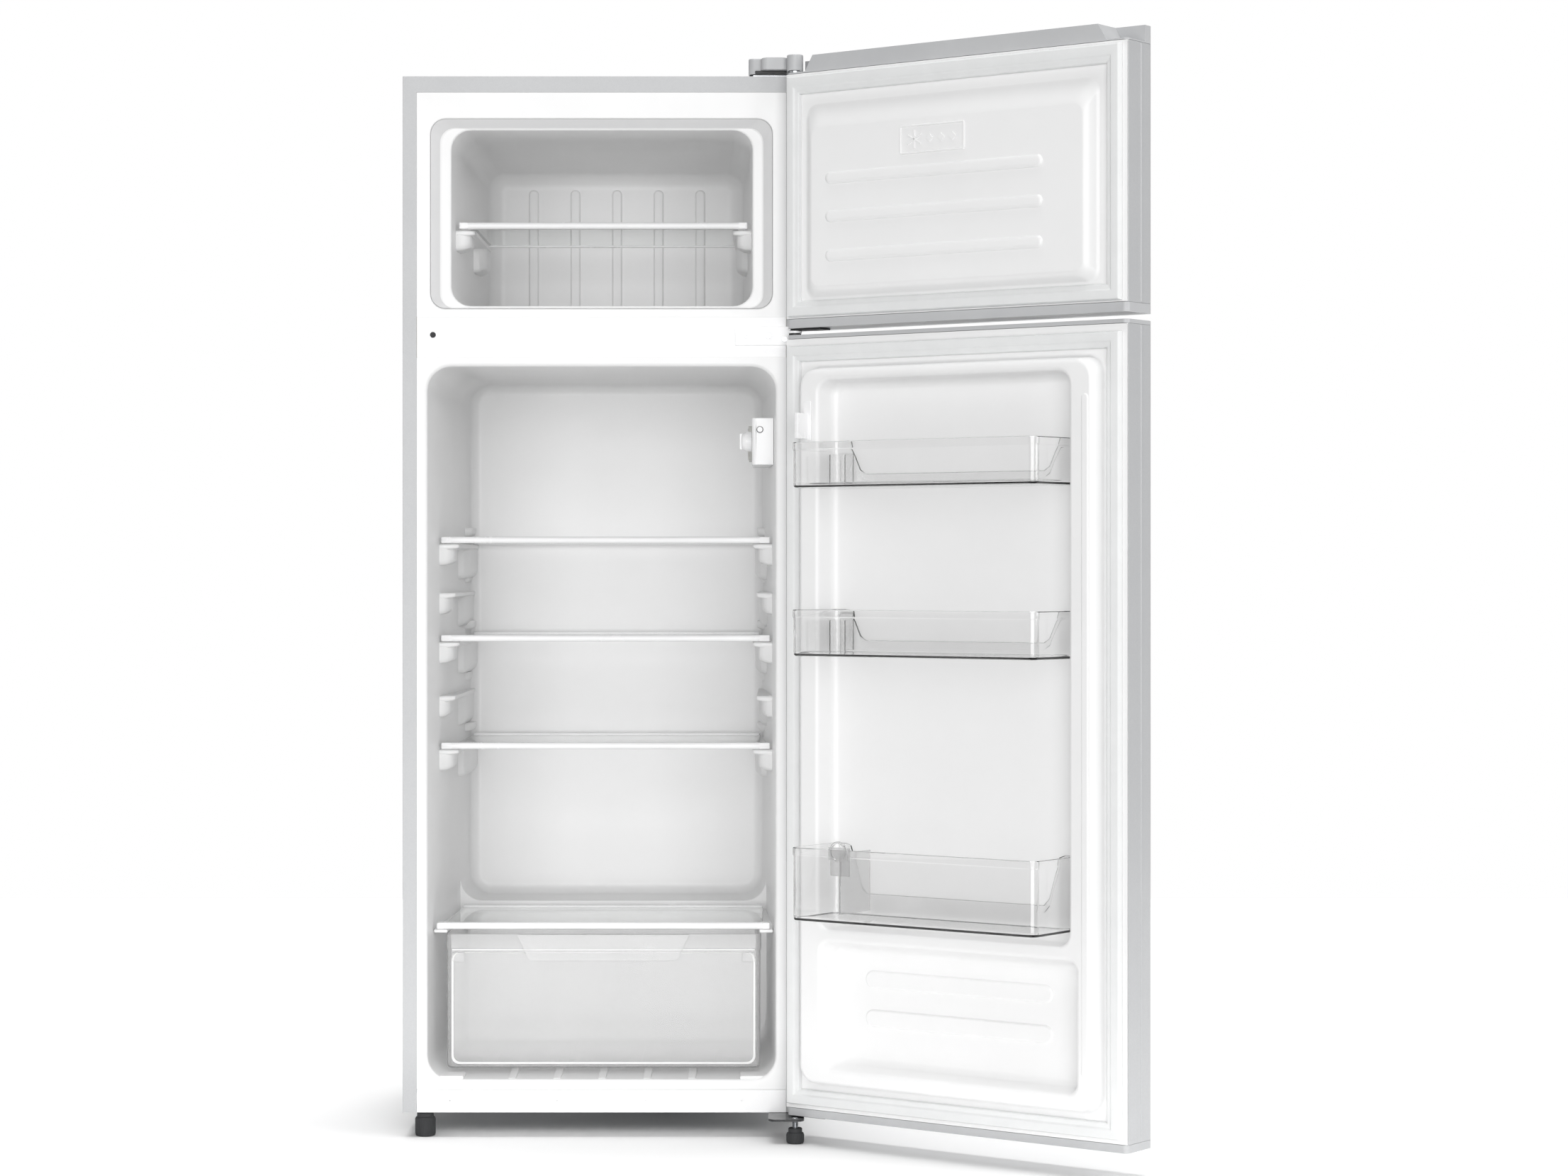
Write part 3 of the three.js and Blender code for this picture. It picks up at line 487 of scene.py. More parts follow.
class Shape:
    """A mesh in the making, drawn in millimetres."""

    def __init__(self) -> None:
        """Starts empty."""
        self.bm = bmesh.new()

    def loft(self, loops: Sequence[Loop], first: bool = True,
             last: bool = True) -> list[list[bmesh.types.BMVert]]:
        """Joins outlines with the same number of points into a skin.

        Args:
            loops: the outlines in order.
            first: whether the first is closed with a face.
            last: whether the last is closed with a face.

        Returns:
            The vertices of each outline.
        """
        rows = [[self.bm.verts.new(point) for point in loop] for loop in loops]
        for near, far in zip(rows, rows[1:]):
            for i in range(len(near)):
                j = (i + 1) % len(near)
                self.bm.faces.new((near[i], near[j], far[j], far[i]))
        if first:
            self.bm.faces.new(rows[0][::-1])
        if last:
            self.bm.faces.new(rows[-1])
        return rows

    def lobe(self, side: Side, wall: float, inner: float, run: tuple[float, float], rise: tuple[float, float],
             slope: float) -> None:
        """Swells a lobe from a side wall, steep at its back and top and easy at its front and foot.

        Args:
            side: the wall that it stands on.
            wall: how far that wall is from the room's middle.
            inner: how far its crown is from the room's middle.
            run: its front and back.
            rise: its foot and top.
            slope: how far its front runs back from wall to crown.
        """
        foot = min(slope * 0.4, (rise[1] - rise[0]) * 0.45)
        loops = []
        for share in (0.0, 0.35, 0.7, 0.9, 1.0):
            ease = share * share
            out = wall + (inner - wall) * math.sin(math.radians(90 * share))
            low, high = rise[0] + foot * ease, rise[1] - 0.6 * ease
            loops.append(rounded(run[0] + slope * ease, run[1] - 1.5 * ease, low, high,
                                 min(7.0, (high - low) * 0.45), side.value * out, Plane.ACROSS, 4))
        self.loft(loops)

    def ring(self, loops: Sequence[Loop]) -> None:
        """Joins outlines into a ring, whose last one meets the first again."""
        self.loft([*loops, loops[0]], False, False)
        bmesh.ops.remove_doubles(self.bm, verts=self.bm.verts, dist=0.001)

    def form(self, sections: Iterable[Section], first: bool = True,
             last: bool = True) -> list[list[bmesh.types.BMVert]]:
        """Joins outlines given by their sizes."""
        return self.loft([section.loop() for section in sections], first, last)

    def web(self, *rims: Sequence[bmesh.types.BMVert]) -> None:
        """Fills the flat face between an outer rim and the rims of its holes.

        Args:
            rims: vertices of each rim, whose edges already exist.
        """
        edges = [self.bm.edges.get((rim[i - 1], rim[i])) for rim in rims for i in range(len(rim))]
        bmesh.ops.triangle_fill(self.bm, use_beauty=True, use_dissolve=False, edges=edges)

    def bar(self, x0: float, x1: float, y0: float, y1: float, z0: float, z1: float, radius: float = 1.0,
            segments: int = 2) -> None:
        """Adds a block with round edges.

        Args:
            x0: left.
            x1: right.
            y0: front.
            y1: back.
            z0: bottom.
            z1: top.
            radius: radius of its edges.
            segments: facets in each edge.
        """
        size = Vector((x1 - x0, y1 - y0, z1 - z0))
        middle = Vector((x0 + x1, y0 + y1, z0 + z1)) / 2
        place = Matrix.Translation(middle) @ Matrix.Diagonal((*size, 1.0))
        made = bmesh.ops.create_cube(self.bm, size=1.0, matrix=place)
        edges = list(dict.fromkeys(edge for vert in made["verts"] for edge in vert.link_edges))
        if radius > 0:
            bmesh.ops.bevel(self.bm, geom=edges, offset=min(radius, min(size) * 0.49), segments=segments,
                            affect="EDGES", profile=0.5, clamp_overlap=True)

    def both_sides(self, near: float, far: float, *ends: float) -> None:
        """Adds the same block left and right, from near to far out, with the other sizes of a bar."""
        for side in Side:
            self.bar(*sorted((side.value * near, side.value * far)), *ends)

    def tilted(self, place: Point, size: Point, degrees: float) -> None:
        """Adds a sharp block that is turned about the depth axis.

        Args:
            place: its middle.
            size: its width, depth and height.
            degrees: its turn.
        """
        turn = Matrix.Rotation(math.radians(degrees), 4, "Y")
        stand = Matrix.Translation(place) @ turn @ Matrix.Diagonal((*size, 1.0))
        bmesh.ops.create_cube(self.bm, size=1.0, matrix=stand)

    def turned(self, profile: Sequence[tuple[float, float]], centre: Point, axis: str = "Z",
               steps: int = 32) -> None:
        """Adds a turned form.

        Args:
            profile: radius and height of each point, from one end to the other.
            centre: where height 0 lies.
            axis: the axis that it is turned about.
            steps: facets round it.
        """
        turn = {"X": Matrix.Rotation(math.radians(90), 4, "Y"),
                "Y": Matrix.Rotation(math.radians(-90), 4, "X"),
                "Z": Matrix.Identity(4)}[axis]
        place = Matrix.Translation(centre) @ turn
        swings = [2 * math.pi * step / steps for step in range(steps)]
        self.loft([[place @ Vector((radius * math.cos(swing), radius * math.sin(swing), height))
                    for swing in swings] for radius, height in profile])

    def copied(self, node: str, bench: Bench) -> None:
        """Starts from a CAD node's own form, with its triangles merged into whole faces.

        Args:
            node: the node's name.
            bench: the frame that the shape is drawn in.
        """
        self.bm.from_mesh(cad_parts[node].data)
        bmesh.ops.transform(self.bm, matrix=bench.value.inverted(), verts=self.bm.verts)
        bmesh.ops.remove_doubles(self.bm, verts=self.bm.verts, dist=0.01)
        bmesh.ops.dissolve_limit(self.bm, angle_limit=math.radians(0.6), verts=self.bm.verts,
                                 edges=self.bm.edges)

    def outward(self) -> None:
        """Points every face of a closed shape outwards."""
        bmesh.ops.recalc_face_normals(self.bm, faces=self.bm.faces)

    def facing(self, axis: int, sign: int) -> None:
        """Points an open skin's faces so that its largest face looks along an axis.

        Args:
            axis: 0, 1 or 2 for X, Y or Z.
            sign: 1 or -1 along it.
        """
        bmesh.ops.recalc_face_normals(self.bm, faces=self.bm.faces)
        largest = max(self.bm.faces, key=lambda face: face.calc_area())
        if largest.normal[axis] * sign < 0:
            bmesh.ops.reverse_faces(self.bm, faces=self.bm.faces)

    def object(self, name: str, bench: Bench) -> bpy.types.Object:
        """Makes the finished mesh an object whose place is in its vertices.

        Args:
            name: the object's name.
            bench: the frame that the shape was drawn in.

        Returns:
            The object, at the origin.
        """
        mesh = bpy.data.meshes.new(name)
        bmesh.ops.transform(self.bm, matrix=bench.value, verts=self.bm.verts)
        self.bm.to_mesh(mesh)
        self.bm.free()
        made = bpy.data.objects.new(name, mesh)
        bpy.context.scene.collection.objects.link(made)
        return made


def soften(piece: bpy.types.Object, angle: float = 38.0) -> None:
    """Shades a piece smooth, apart from its sharp edges.

    Args:
        piece: the piece.
        angle: edges that turn by more than this stay sharp, in degrees.
    """
    piece.data.shade_smooth()
    piece.data.set_sharp_from_angle(angle=math.radians(angle))
    weights = piece.modifiers.new("Weighted normals", "WEIGHTED_NORMAL")
    weights.keep_sharp = True


def round_edges(piece: bpy.types.Object, radius: float, segments: int = 2, angle: float = 32.0) -> None:
    """Breaks a piece's sharp edges, as moulds and folded sheet do.

    Args:
        piece: the piece.
        radius: the width taken off, in millimetres.
        segments: facets in each edge.
        angle: only edges that turn by more than this are broken, in degrees.
    """
    bevel = piece.modifiers.new("Broken edges", "BEVEL")
    bevel.width = radius * MM
    bevel.segments = segments
    bevel.limit_method = "ANGLE"
    bevel.angle_limit = math.radians(angle)
    bevel.use_clamp_overlap = True


def thicken(piece: bpy.types.Object, thickness: float) -> None:
    """Gives an open skin its wall, behind its faces.

    Args:
        piece: the piece.
        thickness: in millimetres.
    """
    wall = piece.modifiers.new("Wall", "SOLIDIFY")
    wall.thickness = thickness * MM
    wall.offset = -1.0
    wall.use_even_offset = True


# ------------------------------------------------------------------------------ repeats


class Repeat(Enum):
    """What a Geometry Nodes tree repeats, and where."""

    HEADS_ON_POINTS = "Screw heads on points"
    RODS_IN_ROW = "Rods in a row"
    RODS_IN_RING = "Rods in a ring"


@dataclass
class RepeatTree:
    """A Geometry Nodes tree with named inputs that repeats one small form."""

    kind: Repeat
    built: ClassVar[dict[Repeat, bpy.types.NodeTree]] = {}

    SOCKETS: ClassVar[dict[Repeat, list[tuple[str, str]]]] = {
        Repeat.HEADS_ON_POINTS: [
            ("Head Radius", "Float"), ("Head Height", "Float"), ("Cross Width", "Float"),
            ("Turn", "Vector"), ("Finish", "Material")],
        Repeat.RODS_IN_ROW: [
            ("Count", "Int"), ("Start", "Vector"), ("Step", "Vector"), ("Rod Radius", "Float"),
            ("Rod Length", "Float"), ("Turn", "Vector"), ("Finish", "Material")],
        Repeat.RODS_IN_RING: [
            ("Count", "Int"), ("Ring Radius", "Float"), ("Centre", "Vector"), ("Rod Radius", "Float"),
            ("Rod Length", "Float"), ("Turn", "Vector"), ("Finish", "Material")],
    }

    def tree(self) -> bpy.types.NodeTree:
        """Builds the tree the first time.

        Returns:
            The tree.
        """
        if self.kind in self.built:
            return self.built[self.kind]
        tree = bpy.data.node_groups.new(self.kind.value, "GeometryNodeTree")
        tree.interface.new_socket("Geometry", in_out="INPUT", socket_type="NodeSocketGeometry")
        tree.interface.new_socket("Geometry", in_out="OUTPUT", socket_type="NodeSocketGeometry")
        for name, kind in self.SOCKETS[self.kind]:
            tree.interface.new_socket(name, in_out="INPUT", socket_type=f"NodeSocket{kind}")
        given = add_node(tree, "NodeGroupInput").outputs
        if self.kind is Repeat.HEADS_ON_POINTS:
            spots, form = given["Geometry"], self.head(tree, given)
        else:
            spots, form = self.row(tree, given), self.rod(tree, given)
        copies = add_node(tree, "GeometryNodeInstanceOnPoints", None, {
            "Points": spots, "Instance": form,
            "Rotation": UPRIGHT if self.kind is Repeat.RODS_IN_RING else given["Turn"]})
        whole = copies.outputs["Instances"]
        if self.kind is Repeat.RODS_IN_RING:
            whole = add_node(tree, "GeometryNodeTransform", None, {
                "Geometry": whole, "Translation": given["Centre"],
                "Rotation": given["Turn"]}).outputs["Geometry"]
        real = add_node(tree, "GeometryNodeRealizeInstances", None, {"Geometry": whole})
        dressed = add_node(tree, "GeometryNodeSetMaterial", None, {
            "Geometry": real.outputs["Geometry"], "Material": given["Finish"]})
        add_node(tree, "NodeGroupOutput", None, {"Geometry": dressed.outputs["Geometry"]})
        self.built[self.kind] = tree
        return tree

    def head(self, tree: bpy.types.NodeTree, given: bpy.types.bpy_prop_collection) -> bpy.types.NodeSocket:
        """A pan head with a cross cut into it.

        Args:
            tree: the tree.
            given: the tree's inputs.

        Returns:
            The head's geometry.
        """
        pan = add_node(tree, "GeometryNodeMeshCylinder", None, {
            "Vertices": 20, "Radius": given["Head Radius"], "Depth": given["Head Height"]}).outputs["Mesh"]
        blades = []
        for long_way in (0, 1):
            reach = add_node(tree, "ShaderNodeMath", {"operation": "MULTIPLY"},
                             {0: given["Head Radius"], 1: 1.1})
            sides = [given["Cross Width"], reach.outputs[0]]
            size = add_node(tree, "ShaderNodeCombineXYZ", None, {
                "X": sides[long_way], "Y": sides[1 - long_way], "Z": given["Head Height"]})
            blade = add_node(tree, "GeometryNodeMeshCube", None, {"Size": size.outputs["Vector"]})
            lift = add_node(tree, "ShaderNodeCombineXYZ", None, {"Z": given["Head Height"]})
            half = add_node(tree, "ShaderNodeVectorMath", {"operation": "SCALE"}, {
                0: lift.outputs["Vector"], "Scale": 0.5})
            blades.append(add_node(tree, "GeometryNodeTransform", None, {
                "Geometry": blade.outputs["Mesh"],
                "Translation": half.outputs["Vector"]}).outputs["Geometry"])
        cut = add_node(tree, "GeometryNodeMeshBoolean", {"operation": "DIFFERENCE"}, {"Mesh 1": pan})
        for blade in blades:
            tree.links.new(blade, cut.inputs["Mesh 2"])
        return cut.outputs["Mesh"]

    def rod(self, tree: bpy.types.NodeTree, given: bpy.types.bpy_prop_collection) -> bpy.types.NodeSocket:
        """A plain rod along Z."""
        return add_node(tree, "GeometryNodeMeshCylinder", None, {
            "Vertices": 8, "Radius": given["Rod Radius"], "Depth": given["Rod Length"]}).outputs["Mesh"]

    def row(self, tree: bpy.types.NodeTree, given: bpy.types.bpy_prop_collection) -> bpy.types.NodeSocket:
        """The points that rods stand on, in a line or round a ring.

        Args:
            tree: the tree.
            given: the tree's inputs.

        Returns:
            The points' geometry.
        """
        if self.kind is Repeat.RODS_IN_ROW:
            return add_node(tree, "GeometryNodeMeshLine", None, {
                "Count": given["Count"], "Start Location": given["Start"],
                "Offset": given["Step"]}).outputs["Mesh"]
        return add_node(tree, "GeometryNodeMeshCircle", None, {
            "Vertices": given["Count"], "Radius": given["Ring Radius"]}).outputs["Mesh"]

    def mesh(self, name: str, points: Sequence[Point], finish: Finish,
             **sizes: float | int | Point) -> bpy.types.Mesh:
        """Runs the tree once and keeps its result as a plain mesh.

        Args:
            name: the mesh's name.
            points: the points that the tree is given, in millimetres.
            finish: the finish of every copy.
            sizes: values of the tree's named inputs, with _ for a space.

        Returns:
            The plain mesh, in millimetres.
        """
        tree = self.tree()
        seed = bpy.data.meshes.new(name)
        seed.from_pydata([Vector(point) for point in points] or [Vector()], [], [])
        holder = bpy.data.objects.new(name, seed)
        bpy.context.scene.collection.objects.link(holder)
        run = holder.modifiers.new(self.kind.value, "NODES")
        run.node_group = tree
        keys = {item.name: item.identifier for item in tree.interface.items_tree if item.in_out == "INPUT"}
        run[keys["Finish"]] = finish.material()
        for size, value in sizes.items():
            run[keys[size.replace("_", " ").title()]] = value
        graph = bpy.context.evaluated_depsgraph_get()
        graph.update()
        plain = bpy.data.meshes.new_from_object(holder.evaluated_get(graph), depsgraph=graph)
        bpy.data.objects.remove(holder)
        return plain


# ------------------------------------------------------------------------------ sub-assemblies


@dataclass
class SubAssembly:
    """What the sub-assemblies share: how a finished mesh joins the frame."""

    bench: ClassVar[Bench] = Bench.CABINET

    def fit(self, name: str, shape: Shape, finish: Finish, body: str, nodes: Sequence[str] = (),
            edge: float = 0.0, wall: float = 0.0, angle: float = 38.0) -> bpy.types.Object:
        """Turns a shape into a dressed piece that rides on a body.

        Args:
            name: the piece's name.
            shape: its form.
            finish: its finish.
            body: the body that it moves with.
            nodes: CAD nodes that it stands for.
            edge: how much its sharp edges are broken by, in millimetres.
            wall: the wall behind an open skin, in millimetres.
            angle: edges sharper than this stay sharp, in degrees.

        Returns:
            The piece.
        """
        if not wall:
            shape.outward()
        piece = shape.object(name, self.bench)
        if wall:
            thicken(piece, wall)
        if edge:
            round_edges(piece, edge)
        soften(piece, angle)
        return self.join(piece, finish, body, nodes)

    def join(self, piece: bpy.types.Object, finish: Finish, body: str,
             nodes: Sequence[str] = ()) -> bpy.types.Object:
        """Dresses a piece and hands it to its body.

        Args:
            piece: the piece.
            finish: its finish.
            body: the body that it moves with.
            nodes: CAD nodes that it stands for.

        Returns:
            The piece.
        """
        piece.data.materials.clear()
        piece.data.materials.append(finish.material())
        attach(piece, body)
        if nodes:
            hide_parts(*nodes)
        LOG.info("%s: %s, on %s", piece.name, finish.name, body)
        return piece

    def recut(self, node: str, finish: Finish, body: str, edge: float = 0.5) -> bpy.types.Object:
        """Takes a CAD node's own form and breaks its sharp edges.

        Args:
            node: the node's name.
            finish: its finish.
            body: the body that it moves with.
            edge: how much the edges are broken by, in millimetres.

        Returns:
            The piece.
        """
        shape = Shape()
        shape.copied(node, self.bench)
        return self.fit(f"{node}_finished", shape, finish, body, (node,), edge=edge)

    def keep(self, node: str, finish: Finish) -> None:
        """Dresses a CAD node whose form is right as it is.

        Args:
            node: the node's name.
            finish: its finish.
        """
        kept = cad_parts[node]
        kept.data.materials.clear()
        kept.data.materials.append(finish.material())
        LOG.info("%s: %s, kept", node, finish.name)

    def repeat(self, name: str, kind: Repeat, finish: Finish, body: str, points: Sequence[Point] = (),
               **sizes: float | int | Point) -> bpy.types.Object:
        """Adds what a Geometry Nodes tree repeats, as one plain piece.

        Args:
            name: the piece's name.
            kind: the tree.
            finish: the finish of every copy.
            body: the body that it moves with.
            points: the points that the tree is given.
            sizes: the tree's named inputs.

        Returns:
            The piece.
        """
        mesh = RepeatTree(kind).mesh(name, points, finish, **sizes)
        mesh.transform(self.bench.value)
        piece = bpy.data.objects.new(name, mesh)
        bpy.context.scene.collection.objects.link(piece)
        soften(piece)
        return self.join(piece, finish, body)

    def screws(self, name: str, points: Sequence[Point], body: str, turn: Point, radius: float = 4.0,
               finish: Finish = ZINC_PLATE) -> bpy.types.Object:
        """Adds a set of pan-head screws that face the same way."""
        return self.repeat(name, Repeat.HEADS_ON_POINTS, finish, body, points, Head_Radius=radius,
                           Head_Height=radius * 0.55, Cross_Width=radius * 0.3, Turn=turn)

    def pipe(self, name: str, points: Sequence[Point], radius: float, finish: Finish, body: str,
             nodes: Sequence[str] = ()) -> bpy.types.Object:
        """Bends a round tube along a smooth path.

        Args:
            name: the piece's name.
            points: points of its path.
            radius: radius of the tube.
            finish: its finish.
            body: the body that it moves with.
            nodes: CAD nodes that it stands for.

        Returns:
            The piece.
        """
        path = bpy.data.curves.new(name, "CURVE")
        path.dimensions = "3D"
        path.bevel_depth = radius
        path.bevel_resolution = 2
        path.resolution_u = 6
        path.use_fill_caps = True
        line = path.splines.new("NURBS")
        line.points.add(len(points) - 1)
        for spot, point in zip(line.points, points):
            spot.co = (*point, 1.0)
        line.use_endpoint_u = True
        line.order_u = 3
        holder = bpy.data.objects.new(name, path)
        bpy.context.scene.collection.objects.link(holder)
        graph = bpy.context.evaluated_depsgraph_get()
        mesh = bpy.data.meshes.new_from_object(holder.evaluated_get(graph), depsgraph=graph)
        bpy.data.objects.remove(holder)
        mesh.transform(self.bench.value)
        piece = bpy.data.objects.new(name, mesh)
        bpy.context.scene.collection.objects.link(piece)
        soften(piece)
        return self.join(piece, finish, body, nodes)


@dataclass
class Case(SubAssembly):
    """The painted wrapper, the front frame and the sheet parts behind and below."""

    back: float = 488.0
    panel_low: float = 262.0
    panel_high: float = 1425.0
    panel_half: float = 258.0
    screw_pitch: float = 129.0
    bead_x: float = 205.0
    bead_low: float = 420.0
    bead_high: float = 1320.0

    def build(self) -> None:
        """Makes the case's pieces."""
        self.recut("case_wrapper", SILVER_STEEL, "cabinet", 0.48)
        self.recut("front_rail", WHITE_STEEL, "cabinet", 0.6)
        self.recut("mullion_strip", WHITE_STEEL, "cabinet", 0.6)
        self.recut("mullion_plug", BLACK_RUBBER, "cabinet", 0.5)
        self.recut("back_panel", GALVANISED, "cabinet", 0.3)
        self.recut("stepped_deck", GALVANISED, "cabinet", 0.3)
        self.recut("compressor_tray", GALVANISED, "cabinet", 0.4)
        self.keep("cabinet_foam", PU_FOAM)
        rows = 1 + int((self.panel_high - self.panel_low) // self.screw_pitch)
        points = [(side.value * self.panel_half, self.back + 0.6, self.panel_low + row * self.screw_pitch)
                  for side in Side for row in range(rows)]
        self.screws("back_panel_screws", points, "cabinet", FACING_BACK, 3.6)
        self.beads()

    def beads(self) -> None:
        """Presses stiffening beads into the back panel, which stand proud of it."""
        shape = Shape()
        for side in Side:
            x = side.value * self.bead_x
            foot = Section(x - 9, x + 9, self.bead_low, self.bead_high, 8.5, self.back)
            shape.form([foot, foot.grown(-1.5, self.back + 0.8), foot.grown(-4, self.back + 1.4)])
        self.fit("back_panel_beads", shape, GALVANISED, "cabinet")


@dataclass
class Room(SubAssembly):
    """What both rooms share: side walls that draw in to the back, a front flange and ledges."""

    half: float = 235.5
    back_half: float = 216.0
    low: float = 78.4
    high: float = 1043.0
    corner: float = 32.0
    depth: float = 440.0
    flange_half: float = 249.95
    flange_low: float = 65.05
    flange_high: float = 1055.95
    wall: float = 2.0

    def wall_at(self, depth: float) -> float:
        """Half the room's width at a depth."""
        return self.half + (self.back_half - self.half) * depth / self.depth

    def flange(self) -> list[Section]:
        """The outlines of the flat flange round the room, from its back edge to its face."""
        edge = Section(-self.flange_half, self.flange_half, self.flange_low, self.flange_high, 1.0, self.wall)
        return [edge, edge.grown(0, 0.0)]

    def ledge(self, shape: Shape, top: float, lobes: Sequence[tuple[float, ...]]) -> None:
        """Swells one height's ledges from both side walls.

        Args:
            shape: the shape that they join.
            top: the top of the shelf that they carry.
            lobes: for each lobe its crown, front, back, foot, head and slope.
        """
        for side in Side:
            for crown, front, back, foot, head, slope in lobes:
                shape.lobe(side, self.wall_at(front) + 1.5, crown, (front, back), (top + foot, top + head),
                           slope)


@dataclass
class FridgeRoom(Room):
    """The vacuum-formed liner of the fridge, with its shelf ledges and floor pads."""

    hump_front: float = 326.0
    hump_top: float = 290.0
    shelf_tops: tuple[float, ...] = (814.0, 678.0, 529.0)
    spare_tops: tuple[float, ...] = (746.0, 603.0)
    shelf_reach: float = 203.5
    spare_reach: float = 209.0
    ribs: int = 5
    rib_pitch: float = 61.0
    rib_top: float = 85.5

    def section(self, depth: float, floor: float | None = None) -> Section:
        """The room's outline at a depth.

        Args:
            depth: how far it lies behind the front.
            floor: its lower side, where that is the hump and not the floor.

        Returns:
            The outline.
        """
        share = depth / self.depth
        half = self.wall_at(depth)
        return Section(-half, half, self.low + 1.6 * share if floor is None else floor, self.high - 2 * share,
                       self.corner, depth)

    def hump(self) -> list[Section]:
        """Works out the rise that clears the compressor, with round turns at its foot and brow.

        Returns:
            The outlines over it, from front to back.
        """
        foot, brow, draft, sag = 16.0, 2.5, 0.4, 1.2
        turns = [math.radians(22.5 * step) for step in range(5)]
        rise = [self.section(self.hump_front - foot * (1 - math.sin(turn)),
                             self.low + sag + foot * (1 - math.cos(turn))) for turn in turns]
        return rise + [self.section(self.hump_front + draft + brow * (1 - math.cos(turn)),
                                    self.hump_top - brow * (1 - math.sin(turn))) for turn in turns]

    def build(self) -> None:
        """Makes the liner, its ledges and its floor."""
        shape = Shape()
        sections = [*self.flange(), *fillet(self.section(0), 5.0, 1, 1, True)]
        sections += [self.section(depth) for depth in (60.0, 150.0, 240.0)]
        sections += self.hump()
        sections += fillet(self.section(self.depth, self.hump_top), 16.0, -1, -1, False, 6)
        shape.form(sections, first=False)
        shape.facing(1, -1)
        self.fit("fridge_liner_formed", shape, LINER_HIPS, "cabinet", ("fridge_liner",), wall=self.wall)
        self.ledges()
        self.floor()

    def ledges(self) -> None:
        """Adds the moulded ledges that carry the shelves, and the spare ones between them."""
        shape = Shape()
        for top in (*self.shelf_tops, *self.spare_tops):
            reach = self.shelf_reach if top in self.shelf_tops else self.spare_reach
            self.ledge(shape, top, ((reach, 113, 430, -18, -9.5, 10), (reach + 8, 112, 176, -40, -12, 24),
                                    (reach + 2, 300, 430, -60, -12, 34), (reach + 4, 370, 430, 2.5, 16, 18)))
        self.fit("fridge_liner_ledges", shape, LINER_HIPS, "cabinet")
        rails = Shape()
        rails.both_sides(213.5, 232, 51, 318, 271.7, 276.5, 1.6, 3)
        self.fit("crisper_ledges", rails, LINER_HIPS, "cabinet")

    def floor(self) -> None:
        """Adds the drawer's runners on the floor and the pads at its front corners."""
        shape = Shape()
        foot = self.low - 1
        for rib in range(self.ribs):
            middle = (rib - self.ribs // 2) * self.rib_pitch
            shape.loft([[Vector((middle + x, depth, height)) for x, height in
                         ((-6, foot), (6, foot), (5, top - 0.6), (4.2, top), (-4.2, top), (-5, top - 0.6))]
                        for depth, top in ((10, self.low + 0.6), (120, self.rib_top), (300, self.rib_top))])
        shape.both_sides(187, 226, 3, 44, foot, 82.9, 2.2, 3)
        self.fit("fridge_liner_floor", shape, LINER_HIPS, "cabinet")


@dataclass
class FreezerRoom(Room):
    """The freezer's liner: a sloping surround, the room and its ribbed back."""

    half: float = 204.0
    back_half: float = 188.0
    low: float = 1126.0
    high: float = 1364.0
    corner: float = 26.0
    flange_low: float = 1110.05
    flange_high: float = 1413.95
    shelf_top: float = 1243.0
    ribs: int = 5
    rib_pitch: float = 61.5

    def section(self, depth: float) -> Section:
        """The room's outline at a depth."""
        half = self.wall_at(depth)
        return Section(-half, half, self.low, self.high - 11 * depth / self.depth, self.corner, depth)

    def build(self) -> None:
        """Makes the liner, its breaker strip, its ledges and the ribs on its back."""
        shape = Shape()
        surround = Section(-231, 231, 1122, 1378, 20, 0.0)
        sill = [Section(-219.5, 219.5, 1122.3, 1367.5, 20, 9.2), Section(-218, 218, 1122.5, 1366.4, 20, 10.3),
                Section(-216, 216, 1122.7, 1367.4, 21, 10.8)]
        mouth = Section(-self.half, self.half, self.low, self.high, self.corner, 11.0)
        sections = [*self.flange(), *fillet(surround, 2.5, 1, 1, True, 3), *sill,
                    *fillet(mouth, 3.0, 1, 1, True, 3)]
        sections += [self.section(depth) for depth in (60.0, 180.0, 300.0)]
        sections += fillet(self.section(self.depth), 24.0, -1, -1, False, 7)
        shape.form(sections, first=False)
        shape.facing(1, -1)
        self.fit("freezer_liner_formed", shape, LINER_HIPS, "cabinet", ("freezer_liner",), wall=self.wall)
        # The strip over the sloping surround is pale grey, partly as painted shade for the slope.
        strip = Shape()
        strip.form([Section(-230.8, 230.8, 1122.0, 1377.8, 20, -0.15),
                    Section(-219.2, 219.2, 1122.6, 1367.2, 20, 8.9)], False, False)
        strip.facing(1, -1)
        self.fit("freezer_breaker_strip_painted_shade", strip, PALE_ABS_WITH_PAINTED_SHADE, "cabinet", wall=0.4)
        ribs = Shape()
        for rib in range(self.ribs):
            middle = (rib - self.ribs // 2) * self.rib_pitch
            foot = Section(middle - 7.5, middle + 7.5, 1150, 1330, 7.2, self.depth + 0.5)
            ribs.form([foot, foot.grown(-0.3, 439.0), foot.grown(-1.2, 437.4), foot.grown(-2.8, 436.6)])
        self.fit("freezer_liner_ribs", ribs, LINER_HIPS, "cabinet")
        ledges = Shape()
        self.ledge(ledges, self.shelf_top, ((176.5, 55, 330, -18, -9.5, 12), (182, 54, 112, -38, -12, 26),
                                            (178, 244, 330, -52, -12, 34)))
        self.fit("freezer_liner_ledges", ledges, LINER_HIPS, "cabinet")


